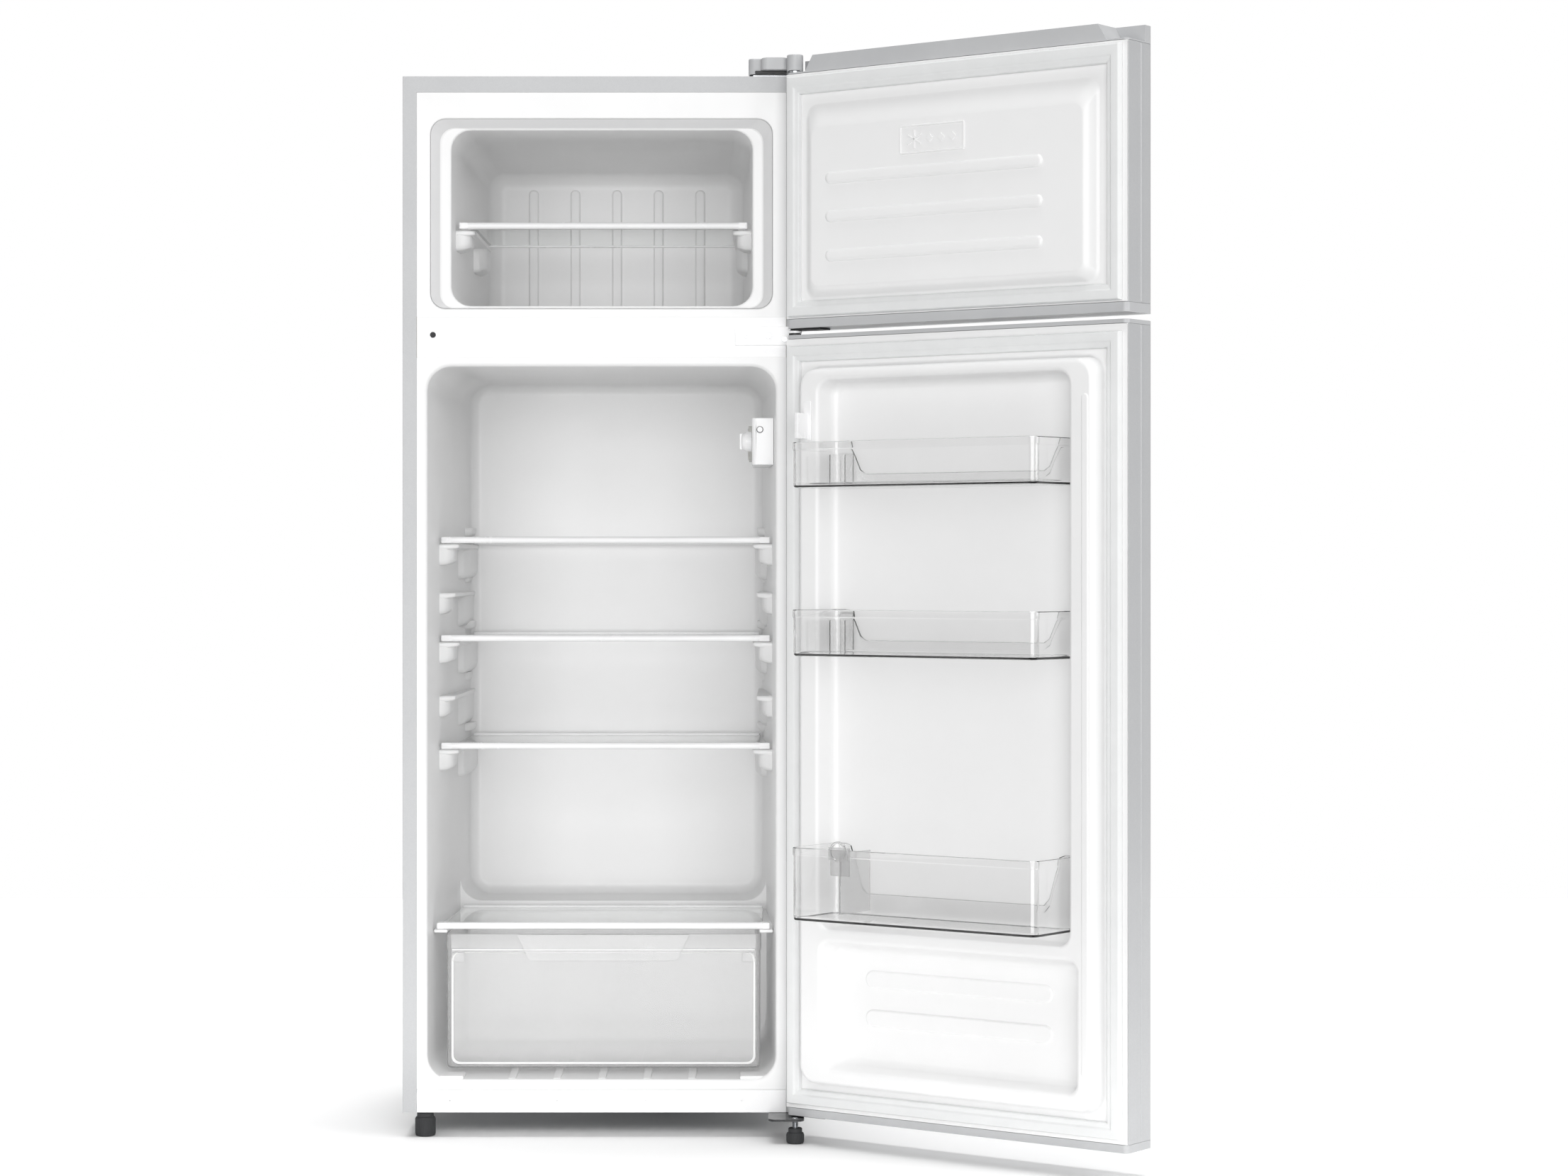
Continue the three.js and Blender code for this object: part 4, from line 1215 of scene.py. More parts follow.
@dataclass
class GlassShelf(SubAssembly):
    """A pane of glass in a moulded front trim, with a slimmer trim along its back."""

    name: str = "shelf_1"
    top: float = 814.0
    half: float = 212.0
    trim_half: float = 227.5
    front: float = 105.0
    back: float = 432.0

    def build(self) -> None:
        """Makes the pane and its trims."""
        pane = Shape()
        pane.bar(-self.half, self.half, self.front + 4, self.back, self.top - 7.5, self.top - 3.5, 0.9, 2)
        self.fit(f"{self.name}_pane", pane, TEMPERED_GLASS, self.name, (f"{self.name}_glass",))
        trim = Shape()
        profile = [(15, -0.5), (4.5, 0.0), (2.2, -0.5), (0.7, -1.9), (0.0, -4.4), (0.6, -7.0), (2.0, -8.5),
                   (4.0, -9.0), (15, -8.8), (15, -7.9), (3.6, -7.9), (3.6, -3.1), (15, -3.1)]
        trim.loft([[Vector((x, self.front + y, self.top + z)) for y, z in profile]
                   for x in (-self.trim_half + 2, self.trim_half - 2)])
        trim.both_sides(self.half + 0.4, self.trim_half, self.front + 0.4, self.front + 15, self.top - 8.9,
                        self.top - 0.1, 1.6, 3)
        piece = self.fit(f"{self.name}_front_trim", trim, WHITE_ABS, self.name, (f"{self.name}_trim",),
                         angle=50)
        round_edges(piece, 0.25)
        rear = Shape()
        rear.bar(-self.half + 1, self.half - 1, self.back - 9, self.back + 0.2, self.top - 8.8,
                 self.top - 1.4, 1.6, 3)
        self.fit(f"{self.name}_rear_trim", rear, WHITE_ABS, self.name)


@dataclass
class CrisperDrawer(SubAssembly):
    """The clear vegetable drawer: a tub with a rim band, a scooped grip and floor ribs."""

    half: float = 216.0
    front: float = 50.0
    back: float = 312.0
    low: float = 86.0
    high: float = 270.0
    corner: float = 9.0
    taper: float = 0.018
    grip_half: float = 118.0
    grip_foot_half: float = 104.0
    grip_depth: float = 36.0
    grip_corner: float = 8.0

    def loop(self, inset: float, height: float) -> Loop:
        """The tub's outline, which narrows slightly to the back.

        Args:
            inset: how far inside the widest outline it lies.
            height: its height.

        Returns:
            The outline.
        """
        loop = rounded(-self.half + inset, self.half - inset, self.front + inset, self.back - inset,
                       max(self.corner - inset, 1.5), height, Plane.LEVEL, 6)
        for point in loop:
            point.x *= 1 - self.taper * (point.y - self.front) / (self.back - self.front)
        return loop

    def build(self) -> None:
        """Makes the tub and its grip as one moulding, and the ribs on its floor."""
        shape = Shape()
        steps = [(7.5, 86.0), (3.4, 87.0), (1.9, 89.2), (1.4, 93.0), (1.2, 246.0), (0.3, 249.0), (0.0, 251.0),
                 (0.0, 268.4), (0.7, 270.0), (2.0, 270.0), (2.7, 268.6), (2.9, 251.0), (3.7, 248.0),
                 (3.9, 96.0), (4.6, 91.5), (7.0, 89.2), (12.0, 88.6)]
        shape.loft([self.loop(inset, height) for inset, height in steps])
        self.fit("crisper_tub", shape, HAZED_GPPS, "crisper", ("crisper_drawer",))
        self.grip()
        ribs = Shape()
        for x in range(-150, 151, 50):
            ribs.bar(x - 1.2, x + 1.2, self.front + 24, self.back - 24, 88.3, 90.0, 0.6)
        self.fit("crisper_floor_ribs", ribs, HAZED_GPPS, "crisper")

    def grip(self) -> None:
        """Makes the grip: a plate before the front wall, joined along its top and slanting ends."""
        shape = Shape()
        front, rear, foot = self.front - 6.8, self.front - 0.2, self.high - self.grip_depth
        radius = self.grip_corner

        def outline(inset: float, depth: float) -> Loop:
            """The grip's outline, with round lower corners.

            Args:
                inset: how far inside the grip's edge it lies.
                depth: its depth.

            Returns:
                The outline, from its upper right end to its upper left one.
            """
            points = [Vector((self.grip_half - inset, depth, self.high - 0.4))]
            for side in (1, -1):
                for turn in range(7)[::side]:
                    swing = math.radians(-21 - 69 * turn / 6)
                    across = self.grip_foot_half - inset - radius + radius * math.cos(swing)
                    height = foot + inset + radius + radius * math.sin(swing)
                    points.append(Vector((side * across, depth, height)))
            points.append(Vector((-self.grip_half + inset, depth, self.high - 0.4)))
            return points

        shape.loft([outline(0.6, front), outline(0.0, front + 0.6), outline(0.0, front + 1.8),
                    outline(0.5, front + 2.2)])
        shape.bar(-self.grip_half + 2, self.grip_half - 2, front + 1.8, rear, self.high - 2.4,
                  self.high - 0.4, 0.4)
        for side in (1, -1):
            shape.loft([[Vector((side * x + side * dx, y, z)) for dx, y in
                         ((-1.0, front + 1.9), (0.8, front + 1.9), (0.8, rear), (-1.0, rear))]
                        for x, z in ((self.grip_half - 1.2, self.high - 1),
                                     (self.grip_foot_half - 3, foot + 8))])
        shape.both_sides(190, 207, self.front - 1.0, self.front + 1.5, 232, 245, 1.0)
        self.fit("crisper_grip", shape, HAZED_GPPS, "crisper")
        self.painted_highlight_rib()

    def painted_highlight_rib(self) -> None:
        """Adds a fine pale rib that frames the front wall under the rim band, a painted highlight along the
        front wall's edge.
        """
        shape = Shape()
        face = self.front + 1.0
        shape.ring([rounded(-self.half + inset, self.half - inset, self.low + inset - 2, 247.0 - inset / 4,
                            15 - inset / 2, depth, Plane.UPRIGHT, 6)
                    for inset, depth in ((8.0, face), (8.3, face - 1.0), (9.0, face - 1.5),
                                         (10.2, face - 1.5), (11.0, face - 1.0), (11.3, face))])
        shape.bar(-self.half + 9, self.half - 9, face - 1.4, face, 247.6, 249.6, 0.5)
        self.fit("crisper_painted_highlight_rib", shape, PALE_GPPS_PAINTED_HIGHLIGHT, "crisper")


@dataclass
class Thermostat(SubAssembly):
    """The box on the right-hand wall with the thermostat dial, the lamp and its switch."""

    inner: float = 203.0
    knob_y: float = 92.0
    knob_z: float = 945.0
    lamp_y: float = 168.0
    low: float = 912.0
    high: float = 976.0

    def build(self) -> None:
        """Makes the box's pieces."""
        self.recut("thermostat_housing", WHITE_ABS, "cabinet", 1.4)
        self.recut("lamp_bulb", OPAL_GLASS, "cabinet", 0.4)
        self.recut("lamp_cover", FROSTED_PC, "cabinet", 0.6)
        self.recut("lamp_switch", WHITE_ABS, "switch_plunger", 0.6)
        self.repeat("lamp_cover_flutes", Repeat.RODS_IN_ROW, FROSTED_PC, "cabinet", Count=17,
                    Start=(self.inner - 5.0, self.lamp_y - 32.0, (self.low + self.high) / 2),
                    Step=(0.0, 4.0, 0.0), Rod_Radius=1.1, Rod_Length=42.0, Turn=UPRIGHT)
        self.knob()

    def knob(self) -> None:
        """Makes the dial: a turned cap with a grip bar, fluted round its side."""
        shape = Shape()
        face = self.inner - GAP
        profile = [(3.4, 6.5), (3.4, 0.2), (12.6, 0.0), (13.3, -0.8), (13.3, -8.0), (12.6, -9.6),
                   (11.0, -12.8), (9.6, -13.8), (0.4, -14.2)]
        shape.turned(profile, (face, self.knob_y, self.knob_z), "X", 40)
        shape.bar(face - 17.1, face - 12.0, self.knob_y - 2, self.knob_y + 2,
                  self.knob_z - 11, self.knob_z + 11, 1.4, 3)
        self.fit("thermostat_dial_cap", shape, WHITE_ABS, "thermostat_dial", ("thermostat_knob",))
        self.repeat("thermostat_dial_flutes", Repeat.RODS_IN_RING, WHITE_ABS, "thermostat_dial", Count=30,
                    Ring_Radius=12.9, Centre=(face - 4.6, self.knob_y, self.knob_z), Rod_Radius=0.65,
                    Rod_Length=7.0, Turn=LYING_ACROSS)


@dataclass
class Hinges(SubAssembly):
    """The three hinges, their cover and their screws."""

    brow_left: float = 216.0
    brow_right: float = 254.0
    brow_front: float = -9.2
    brow_back: float = 14.0
    shadow_pad_top: float = 1443.5

    def build(self) -> None:
        """Makes the hinges' pieces."""
        self.recut("top_hinge", ZINC_PLATE, "cabinet", 0.4)
        self.recut("top_hinge_cover", GREY_ABS, "cabinet", 0.9)
        self.recut("middle_hinge", WHITE_STEEL, "cabinet", 0.35)
        self.recut("bottom_hinge", BLACK_ENAMEL, "cabinet", 0.4)
        self.brow()
        self.screws("middle_hinge_screws", [(197, -3.6, 1084.5), (226, -3.6, 1084.5), (248, -3.6, 1080.0)],
                    "cabinet", FACING_FRONT, 3.4)
        self.screws("top_hinge_screws", [(215, 30, 1440.4), (232, 46, 1440.4), (252, 60, 1440.4)],
                    "cabinet", UPRIGHT, 3.6)
        self.screws("bottom_hinge_screws", [(240, 24, 30.2), (258, 24, 30.2), (249, 44, 30.2)],
                    "cabinet", FACING_DOWN, 3.6)
        self.screws("rail_screws", [(x, -0.6, 50) for x in (-205, -60, 60, 190)],
                    "cabinet", FACING_FRONT, 3.0, WHITE_STEEL)

    def brow(self) -> None:
        """Adds the rounded brow before the top hinge's cover, and a black pad under it, painted shadow for
        the dark hollow under the cover.
        """
        brow = Shape()
        brow.loft([rounded(self.brow_left + inset, self.brow_right - inset, self.brow_front + inset,
                           self.brow_back, 9.5, self.shadow_pad_top + rise, Plane.LEVEL, 6)
                   for inset, rise in ((0.6, 0.2), (0.0, 0.8), (0.0, 15.1), (0.5, 16.3), (1.6, 16.9))])
        self.fit("top_hinge_cover_brow", brow, GREY_ABS, "cabinet")
        # A black pad painted in as the shadow under the cover's front, hiding the bright plate behind.
        pad = Shape()
        pad.bar(208, 250, 1, 10, 1440.2, self.shadow_pad_top, 0.6)
        self.fit("top_hinge_shadow_pad", pad, BLACK_PP, "cabinet")


@dataclass
class Feet(SubAssembly):
    """The levelling feet in front and the rollers behind."""

    knurls: int = 26
    thread_pitch: float = 1.25
    thread_depth: float = 0.6

    def foot(self, name: str, body: str, x: float, y: float, pad: float, collar: float, stem_top: float,
             stem: float = 4.0) -> None:
        """Makes a levelling foot: a ribbed pad, a collar and a threaded stem.

        Args:
            name: the CAD node that it stands for.
            body: the body that turns.
            x: its axis.
            y: its axis.
            pad: radius of its pad.
            collar: height of its collar's top.
            stem_top: height of its stem.
            stem: radius of its stem.
        """
        shape = Shape()
        shape.turned([(pad - 3, 0.0), (pad - 1.4, 0.5), (pad - 0.4, 2.0), (pad - 0.4, collar - 8),
                      (pad - 1, collar - 6.6), (pad - 2.7, collar - 5.6), (pad - 2.7, collar - 1),
                      (pad - 3.6, collar), (stem, collar)],
                     (x, y, 0.0), "Z", 40)
        self.fit(f"{name}_pad", shape, BLACK_RUBBER, body, (name,))
        self.repeat(f"{name}_knurl", Repeat.RODS_IN_RING, BLACK_RUBBER, body, Count=self.knurls,
                    Ring_Radius=pad - 0.9, Centre=(x, y, (collar - 5) / 2), Rod_Radius=0.85,
                    Rod_Length=collar - 12, Turn=UPRIGHT)
        thread = Shape()
        height, profile = collar - 1.0, []
        while height < stem_top - 1.6:
            profile += [(stem - self.thread_depth, height), (stem, height + self.thread_depth)]
            height += self.thread_pitch
        profile += [(stem - self.thread_depth, stem_top - self.thread_depth), (stem - 1.4, stem_top)]
        thread.turned(profile, (x, y, 0.0), "Z", 20)
        self.fit(f"{name}_stem", thread, ZINC_PLATE, body)

    def build(self) -> None:
        """Makes the feet and the rollers."""
        self.foot("front_left_foot", "left_foot", -240.0, 18.0, 14.0, 32.0, 50.0)
        self.foot("front_right_foot", "right_foot", 262.0, -47.0, 12.0, 21.0, 34.5)
        for side in ("left", "right"):
            self.recut(f"rear_roller_bracket_{side}", GALVANISED, "cabinet", 0.4)
            self.recut(f"rear_roller_{side}", BLACK_RUBBER, f"{side}_roller", 1.2)


@dataclass
class CoolingCircuit(SubAssembly):
    """Compressor, condenser, drier, pipes and drip tray at the back."""

    condenser_y: float = 499.0
    tube: float = 2.4
    suction_tube: float = 3.2
    capillary_tube: float = 1.1
    half: float = 225.0
    low: float = 330.0
    high: float = 1370.0
    passes: int = 17
    wires: int = 41
    wire_half: float = 200.0
    shell: tuple[float, float] = (100.0, 424.0)

    def build(self) -> None:
        """Makes the circuit's pieces."""
        self.condenser()
        self.compressor()
        self.recut("terminal_box", BLACK_PP, "cabinet", 1.0)
        self.recut("drip_tray", BLACK_PP, "cabinet", 0.6)
        self.recut("compressor_mount", BLACK_RUBBER, "cabinet", 0.4)
        drier = Shape()
        drier.turned([(2.4, 90), (2.4, 98), (4.5, 101), (9.6, 107), (9.9, 109), (9.9, 179), (9.6, 181),
                      (4.5, 187), (2.4, 190), (2.4, 198)], (-120, 452, 0), "Z", 28)
        self.fit("filter_drier_shell", drier, COPPER, "cabinet", ("filter_drier",))
        discharge = [(154, 422, 108), (162, 425, 111), (176, 430, 116), (188, 452, 150), (192, 484, 210),
                     (196, 499, 260), (198, 499, 318)]
        self.pipe("discharge_tube", discharge, self.tube, COPPER, "cabinet", ("discharge_pipe",))
        suction = [(60, 446, 160), (52, 462, 176), (40, 474, 200), (20, 478, 226), (8, 478, 246)]
        self.pipe("suction_tube", suction, self.suction_tube, COPPER, "cabinet")
        capillary = [(-120, 452, 196), (-120, 453, 212), (-112, 460, 228), (-90, 466, 238), (-60, 468, 246)]
        self.pipe("capillary_tube", capillary, self.capillary_tube, COPPER, "cabinet")
        inlet = [(-120, 452, 92), (-122, 454, 80), (-140, 470, 76), (-170, 484, 90), (-188, 494, 140),
                 (-198, 499, 230), (-200, 499, 314)]
        self.pipe("drier_inlet_tube", inlet, self.tube, COPPER, "cabinet")

    def condenser(self) -> None:
        """Makes the condenser: a tube in many passes, welded between two rows of wires."""
        pitch = (self.high - self.low) / (self.passes - 1)
        bend = pitch / 2
        path: list[Point] = []
        for number in range(self.passes):
            z = self.low + number * pitch
            sign = -1 if number % 2 else 1
            straight = self.half - bend
            path += [(-sign * straight, self.condenser_y, z), (0.0, self.condenser_y, z),
                     (sign * straight, self.condenser_y, z)]
            if number < self.passes - 1:
                path += [(sign * (straight + bend), self.condenser_y, z + pitch * 0.08),
                         (sign * (straight + bend), self.condenser_y, z + pitch * 0.92)]
        self.pipe("condenser_tube", path, self.tube, BLACK_ENAMEL, "cabinet", ("condenser",))
        for row, y in (("front", self.condenser_y - 3.0), ("rear", self.condenser_y + 2.6)):
            self.repeat(f"condenser_wires_{row}", Repeat.RODS_IN_ROW, BLACK_ENAMEL, "cabinet",
                        Count=self.wires, Start=(-self.wire_half, y, (self.low + self.high) / 2),
                        Step=(2 * self.wire_half / (self.wires - 1), 0.0, 0.0),
                        Rod_Radius=0.7, Rod_Length=self.high - self.low + 26, Turn=UPRIGHT)
        brackets = Shape()
        spots = [(x, z) for x in (-170.0, 170.0) for z in (self.low + 20, self.high - 20)]
        for x, z in spots:
            brackets.bar(x - 6, x + 6, 488.3, 500.0, z - 34, z + 34, 1.6, 3)
        self.fit("condenser_brackets", brackets, BLACK_PP, "cabinet")
        self.screws("condenser_bracket_screws", [(x, 500.4, z) for x, z in spots],
                    "cabinet", FACING_BACK, 3.4)

    def compressor(self) -> None:
        """Makes the compressor: two pressed half shells with a weld flange, on a mounting plate."""
        x, y = self.shell
        shape = Shape()
        shape.turned([(28, 46), (34, 51), (46, 54), (52, 60), (55.5, 70), (56.5, 84), (56.5, 125),
                      (58.5, 127), (58.5, 132), (56, 134), (55, 142), (52.5, 164), (47, 180), (38, 190),
                      (24, 196.5), (8, 199.6), (2, 200)],
                     (x, y, 0), "Z", 56)
        shape.bar(x - 66, x + 66, y - 26, y + 26, 44, 48, 1.2)
        self.fit("compressor_shell", shape, BLACK_ENAMEL, "cabinet", ("compressor",))
        self.screws("compressor_bolts", [(x + dx, y + dy, 49.4) for dx in (-58, 58) for dy in (-19, 19)],
                    "cabinet", UPRIGHT, 4.6)
        plate = Shape()
        plate.bar(x - 20, x + 20, y + 54.6, y + 55.6, 148, 162, 0.3)
        self.fit("compressor_rating_blank", plate, ZINC_PLATE, "cabinet")


@dataclass
class Door(SubAssembly):
    """What both doors share: the steel skin, the end caps, the foam and the seal."""

    bench: ClassVar[Bench] = Bench.DOOR

    name: str = "fridge_door"
    face_low: float = 46.0
    face_high: float = 1078.0
    hinge_edge: float = 5.5
    free_edge: float = -525.5
    seal_low: float = 52.0
    seal_high: float = 1068.0
    seal_low_width: float = 21.0
    seal_high_width: float = 21.0
    seal_free_edge: float = -519.0
    wall: float = 2.0

    def shell(self) -> None:
        """Makes the skin, the caps and the foam."""
        self.recut(f"{self.name}_skin", SILVER_STEEL, self.name, 0.45)
        hem = Shape()
        hem.bar(self.free_edge - 1.3, self.free_edge + 0.3, -25.0, -20.5, self.face_low + 1,
                self.face_high - 1, 0.7, 3)
        self.fit(f"{self.name}_hem", hem, SILVER_STEEL, self.name)
        self.recut(f"{self.name}_bottom_cap", GREY_ABS, self.name, 1.0)
        self.recut(f"{self.name}_top_cap", GREY_ABS, self.name, 0.9)
        self.keep(f"{self.name}_foam", PU_FOAM)

    def seal(self) -> None:
        """Makes the magnetic seal: a flat magnet pocket and a bellows fold, mitred at its corners."""
        profile = [(0.0, 12.3), (0.1, 16.5), (1.0, 20.4), (2.4, 21.7), (11.2, 21.7), (12.4, 21.0),
                   (13.2, 19.8), (14.6, 19.2), (17.8, 19.0), (19.2, 18.4), (19.9, 16.6), (20.0, 12.3)]
        width = profile[-1][0]
        shape = Shape()
        shape.ring([Section(self.seal_free_edge + inset, -inset,
                            self.seal_low + inset / width * self.seal_low_width,
                            self.seal_high - inset / width * self.seal_high_width, 0.8, reach).loop()
                    for inset, reach in profile])
        self.fit(f"{self.name}_seal", shape, SOFT_PVC, self.name, (f"{self.name}_gasket",), angle=60)

    def flange(self, shape: Shape) -> list[bmesh.types.BMVert]:
        """Starts a liner with its flange's outer edge, and returns its front rim."""
        edge = Section(self.free_edge, self.hinge_edge, self.face_low + 0.3, self.face_high - 0.3, 1.0, 10.0)
        return shape.form([edge, edge.grown(0, 12.0)], False, False)[-1]


@dataclass
class FreezerDoor(Door):
    """The freezer's door, with a raised panel, three ribs and an embossed frost sign."""

    name: str = "freezer_door"
    face_low: float = 1105.0
    face_high: float = 1434.0
    seal_low: float = 1107.0
    seal_high: float = 1430.0
    seal_high_width: float = 25.0
    rib_heights: tuple[float, ...] = (1288.5, 1237.5, 1185.5)

    def build(self) -> None:
        """Makes the door's pieces."""
        self.shell()
        self.seal()
        shape = Shape()
        rim = self.flange(shape)
        foot = Section(-484, -30, 1131, 1388, 16, 12.0)
        face = Section(-472, -42, 1142, 1361, 16, 26.0)
        rise = fillet(foot, 3.0, 1, 1, True, 5, face)
        rows = shape.form([*rise, *fillet(face, 5.0, -1, -1, False, 5, foot)], False, True)
        shape.web(rim, rows[0])
        shape.facing(1, 1)
        self.fit("freezer_door_liner_formed", shape, LINER_HIPS, "freezer_door", ("freezer_door_liner",),
                 wall=self.wall)
        ribs = Shape()
        for height in self.rib_heights:
            base = Section(-410, -69, height - 8.5, height + 8.5, 8.4, 25.6)
            ribs.form([base, base.grown(-0.4, 26.4), base.grown(-1.6, 27.9), base.grown(-3.4, 28.7),
                       base.grown(-5.6, 28.9)])
        self.fit("freezer_door_ribs", ribs, LINER_HIPS, "freezer_door")
        self.sign()
        stop = Shape()
        stop.bar(-46, 4, -18, 6, 1090.1, 1092.3, 0.8)
        self.fit("freezer_door_stop", stop, BLACK_PP, "freezer_door")

    def sign(self) -> None:
        """Embosses a plain frame with a six-armed crystal and three small diamonds."""
        shape = Shape()
        outer = Section(-291, -189, 1311, 1349, 3.0, 25.8)
        shape.form([outer, outer.grown(-0.3, 27.0), outer.grown(-0.9, 27.6), outer.grown(-1.9, 27.6),
                    outer.grown(-2.5, 27.0), outer.grown(-2.8, 25.8)])
        for arm in range(3):
            shape.tilted((-212, 26.2, 1330), (24.0, 2.6, 2.2), 60 * arm + 30)
        for x in (-236, -254, -272):
            shape.tilted((x, 26.2, 1330), (8.0, 2.2, 8.0), 45)
        self.fit("freezer_door_frost_sign", shape, LINER_HIPS, "freezer_door", edge=0.3)


@dataclass
class FridgeDoor(Door):
    """The fridge's door, whose liner is a raised dyke round two recesses."""

    def build(self) -> None:
        """Makes the door's pieces."""
        self.shell()
        self.seal()
        shape = Shape()
        rim = self.flange(shape)
        foot = Section(-495, -31, 83, 1038, 24, 12.0)
        crest = Section(-491, -35, 87, 1034, 24, 40.0)
        rise = fillet(foot, 4.0, 1, 1, True, 5, crest)
        dyke = shape.form([*rise, *fillet(crest, 6.0, -1, -1, False, 5, foot)], False, False)
        upper = self.recess(shape, Section(-457, -66, 292, 1020, 18, 40.0),
                            Section(-453, -70, 296, 1016, 18, 6.0), 9.5)
        lower = self.recess(shape, Section(-468, -70, 106, 276, 14, 40.0),
                            Section(-460, -76, 114, 266, 14, 6.0), 8.0)
        shape.web(rim, dyke[0])
        shape.web(dyke[-1], upper, lower)
        shape.facing(1, 1)
        self.fit("fridge_door_liner_formed", shape, LINER_HIPS, "fridge_door", ("fridge_door_liner",),
                 wall=self.wall)
        ribs = Shape()
        for height in (226.5, 175.0):
            base = Section(-413, -121, height - 12, height + 12, 11.9, 5.6)
            ribs.form([base, base.grown(-0.4, 6.6), base.grown(-1.4, 8.0), base.grown(-3.0, 8.6)])
        flute = Section(-486, -475, 130, 990, 5.4, 39.6)
        ribs.form([flute, flute.grown(-0.4, 40.4), flute.grown(-1.6, 41.0), flute.grown(-3.0, 41.1)])
        self.fit("fridge_door_ribs", ribs, LINER_HIPS, "fridge_door")
        self.recut("switch_striker", WHITE_ABS, "fridge_door", 0.8)
        slip = Shape()
        slip.bar(-55, -8, -14, 8, 34.2, 35.5, 0.5)
        self.fit("fridge_door_slip", slip, BLACK_PP, "fridge_door")
        bush = Shape()
        bush.turned([(5.2, 1083.7), (8.4, 1083.7), (8.4, 1085.6), (7.8, 1086.0), (5.2, 1086.0)],
                    (0, 0, 0), "Z", 28)
        self.fit("fridge_door_bush", bush, BLACK_PP, "fridge_door")

    def recess(self, shape: Shape, mouth: Section, floor: Section, turn: float) -> list[bmesh.types.BMVert]:
        """Forms a recess into the dyke, and returns the rim of its mouth."""
        wall = fillet(mouth, 5.0, 1, -1, True, 5, floor)
        return shape.form([*wall, *fillet(floor, turn, -1, 1, False, 6, mouth)], False, True)[0]


@dataclass
class Balcony(SubAssembly):
    """A clear door balcony, low in the middle of its back wall."""

    bench: ClassVar[Bench] = Bench.DOOR

    number: int = 1
    low: float = 875.0
    high: float = 935.0
    hinge_side: float = 71.5
    free_side: float = 451.5
    back: float = 7.5
    front: float = 110.0
    dip: float = 0.68
    dip_start: float = 24.0
    dip_run: float = 26.0

    def rim(self, x: float, y: float) -> float:
        """The height of the rim: full, apart from a smooth dip along the back wall.

        Args:
            x: the spot's place along the door.
            y: its depth.

        Returns:
            The height.
        """
        if y > self.back + 6:
            return self.high
        to_end = min(x + self.free_side, -self.hinge_side - x)
        share = min(max((to_end - self.dip_start) / self.dip_run, 0.0), 1.0)
        return self.high - (self.high - self.low) * self.dip * share * share * (3 - 2 * share)

    def loop(self, inset: float, rise: float | None, height: float = 0.0) -> Loop:
        """The tub's outline.

        Args:
            inset: how far inside the outer wall it lies.
            rise: distance below the rim, or None for a level outline.
            height: height above the floor of a level outline.

        Returns:
            The outline.
        """
        loop = rounded(-self.free_side + inset, -self.hinge_side - inset, self.back + inset,
                       self.front - inset, max(11 - inset, 2.0), self.low + height, Plane.LEVEL, 6, (44, 4))
        if rise is not None:
            for point in loop:
                point.z = self.rim(point.x, point.y - inset) - rise
        return loop

    def build(self) -> None:
        """Makes the balcony."""
        shape = Shape()
        body = f"balcony_{self.number}"
        shape.loft([self.loop(6.0, None, 0.0), self.loop(2.6, None, 0.9), self.loop(1.2, None, 3.0),
                    self.loop(0.9, None, 6.0), self.loop(0.9, 11.0), self.loop(0.1, 9.6),
                    self.loop(0.0, 8.8), self.loop(0.0, 0.9), self.loop(0.8, 0.0), self.loop(1.9, 0.0),
                    self.loop(2.6, 0.9), self.loop(2.9, 9.0), self.loop(3.2, 11.0),
                    self.loop(3.3, None, 7.5), self.loop(4.2, None, 4.2), self.loop(7.0, None, 2.6)])
        self.fit(f"{body}_tub", shape, CLEAR_GPPS, body, (f"door_{body}",))
        if self.number < 3:
            clip = Shape()
            clip.bar(-106, -84, self.back + 4, self.back + 6, self.low + 6, self.high - 12, 0.8)
            clip.bar(-86, -84, self.back + 6, self.back + 30, self.low + 4, self.high - 14, 0.8)
            clip.bar(-106, -104, self.back + 6, self.back + 24, self.low + 4, self.high - 14, 0.8)
            self.fit(f"{body}_tube_holder", clip, CLEAR_GPPS, body)


@dataclass
class Divider(SubAssembly):
    """The bottle divider that hooks over the bottom balcony's front wall."""

    bench: ClassVar[Bench] = Bench.DOOR

    ring_x: float = -151.0
    ring_z: float = 403.0
    facets: int = 40

    def build(self) -> None:
        """Makes the divider and the ring at its top."""
        self.recut("bottle_divider", HAZED_GPPS, "divider", 0.5)
        ring = Shape()
        profile = ((10.4, 110.6), (12.6, 110.6), (13.2, 111.3), (13.2, 112.6), (12.6, 113.3), (10.8, 113.3),
                   (10.2, 112.6), (10.2, 111.0))
        loops = []
        for step in range(self.facets):
            turn = 2 * math.pi * step / self.facets
            loops.append([Vector((self.ring_x + radius * math.cos(turn), depth,
                                  self.ring_z + radius * math.sin(turn))) for radius, depth in profile])
        ring.ring(loops)
        self.fit("bottle_divider_ring", ring, CLEAR_GPPS, "divider")


# ------------------------------------------------------------------------------ studio


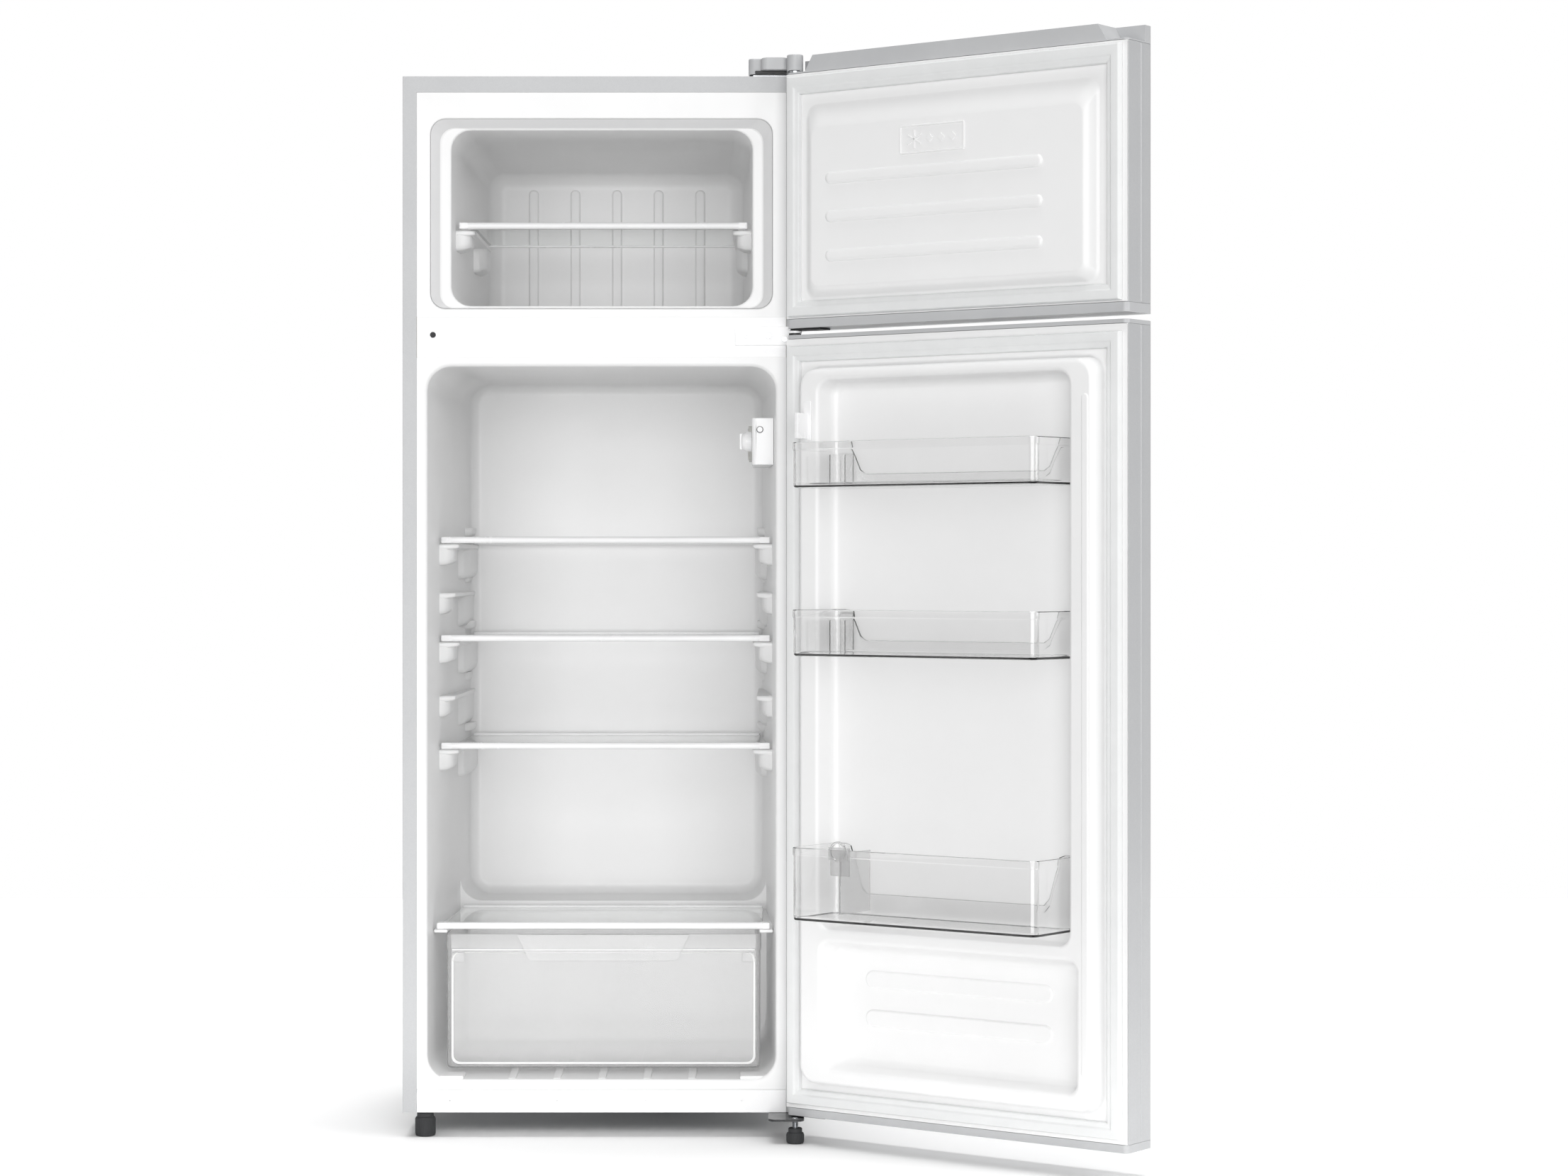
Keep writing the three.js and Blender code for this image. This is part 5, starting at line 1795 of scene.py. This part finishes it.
@dataclass
class Studio:
    """A plain pale room with soft light, and the camera at the standing eye height."""

    eye: Point = (0.487, -4.718, 0.768)
    lens: float = 79.75
    sensor: float = 36.0
    shift: float = -25.5 / 2212
    sight: float = 60.0
    air_light: float = 0.18
    backdrop: float = 1.0
    ceiling: float = 2.2
    ceiling_spread: float = math.radians(40)
    floor_half: float = 5000.0
    floor_front: float = -620.0
    floor_back: float = 3400.0

    def build(self) -> None:
        """Sets the camera, the floor, the sky light and the lamps."""
        scene = bpy.context.scene
        data = bpy.data.cameras.new("Camera")
        data.lens, data.sensor_width, data.shift_y = self.lens, self.sensor, self.shift
        data.clip_end = self.sight
        camera = bpy.data.objects.new("Camera", data)
        camera.location = self.eye
        camera.rotation_euler = (math.radians(90), 0.0, 0.0)
        scene.collection.objects.link(camera)
        scene.camera = camera
        scene.view_settings.view_transform = "Standard"
        world = bpy.data.worlds.new("Studio air")
        world.use_nodes = True
        air = world.node_tree
        seen = add_node(air, "ShaderNodeLightPath").outputs["Is Camera Ray"]
        strength = add_node(air, "ShaderNodeMix", None, {0: seen, 2: self.air_light, 3: self.backdrop})
        air.nodes["Background"].inputs["Color"].default_value = (1.0, 1.0, 1.0, 1.0)
        air.links.new(strength.outputs[0], air.nodes["Background"].inputs["Strength"])
        scene.world = world
        self.floor()
        self.lamp("Front softbox", (0.3, -5.2, 1.1), (0.35, 0.0, 0.75), 4.6, 215.0)
        self.lamp("Left softbox", (-3.0, -1.4, 1.6), (0.2, 0.0, 0.7), 2.0, 8.0)
        self.lamp("Right softbox", (3.6, -1.8, 1.6), (0.5, 0.0, 0.7), 2.0, 40.0)
        self.lamp("Rear softbox", (0.6, 3.6, 1.6), (0.3, 0.3, 0.8), 2.4, 60.0)
        down = bpy.data.lights.new("Ceiling light", "SUN")
        down.energy, down.angle = self.ceiling, self.ceiling_spread
        scene.collection.objects.link(bpy.data.objects.new("Ceiling light", down))

    def floor(self) -> None:
        """Lays the plain pale floor."""
        shape = Shape()
        corners = [(side * self.floor_half, depth, 0.0) for side, depth in
                   ((-1, self.floor_front), (1, self.floor_front), (1, self.floor_back),
                    (-1, self.floor_back))]
        shape.bm.faces.new([shape.bm.verts.new(corner) for corner in corners])
        floor = shape.object("Studio floor", Bench.CABINET)
        paint = bpy.data.materials.new("Matte white floor paint")
        paint.use_nodes = True
        tree = paint.node_tree
        where = add_node(tree, "ShaderNodeTexCoord").outputs["Object"]
        cloud = add_node(tree, "ShaderNodeTexNoise", None, {"Vector": where, "Scale": 3.0, "Detail": 4.0})
        tone = add_node(tree, "ShaderNodeMix", {"data_type": "RGBA"}, {
            0: cloud.outputs["Fac"], 6: linear("FFFFFF"), 7: linear("FDFDFD")})
        tree.links.new(tone.outputs[2], tree.nodes["Principled BSDF"].inputs["Base Color"])
        tree.nodes["Principled BSDF"].inputs["Roughness"].default_value = 0.9
        floor.data.materials.append(paint)

    def lamp(self, name: str, place: Point, target: Point, size: float, power: float) -> None:
        """Adds a square softbox that faces a target.

        Args:
            name: the lamp's name.
            place: where it stands.
            target: what it faces.
            size: its side, in metres.
            power: its power, in watts.
        """
        data = bpy.data.lights.new(name, "AREA")
        data.size, data.energy = size, power
        lamp = bpy.data.objects.new(name, data)
        lamp.location = place
        lamp.rotation_euler = (Vector(target) - Vector(place)).to_track_quat("-Z", "Y").to_euler()
        bpy.context.scene.collection.objects.link(lamp)


def main() -> None:
    """Builds every sub-assembly in order, then the studio."""
    logging.basicConfig(level=logging.INFO, format="%(name)s %(message)s")
    assemblies: list[SubAssembly | Studio] = [
        Case(), FridgeRoom(), FreezerRoom(),
        *(GlassShelf(name=f"shelf_{i}", top=top) for i, top in enumerate(FridgeRoom.shelf_tops, 1)),
        GlassShelf(name="crisper_cover", top=286.0, half=217.0, front=45.0, back=318.0),
        GlassShelf(name="freezer_shelf", top=FreezerRoom.shelf_top, half=184.0, trim_half=197.0, front=45.0,
                   back=330.0),
        CrisperDrawer(), Thermostat(), Hinges(), Feet(), CoolingCircuit(), FreezerDoor(), FridgeDoor(),
        Balcony(number=1, low=875.0, high=935.0), Balcony(number=2, low=655.0, high=716.0),
        Balcony(number=3, low=309.0, high=405.0), Divider(), Studio(),
    ]
    for assembly in assemblies:
        assembly.build()
        LOG.info("%s done", type(assembly).__name__)


if __name__ == "__main__":
    main()
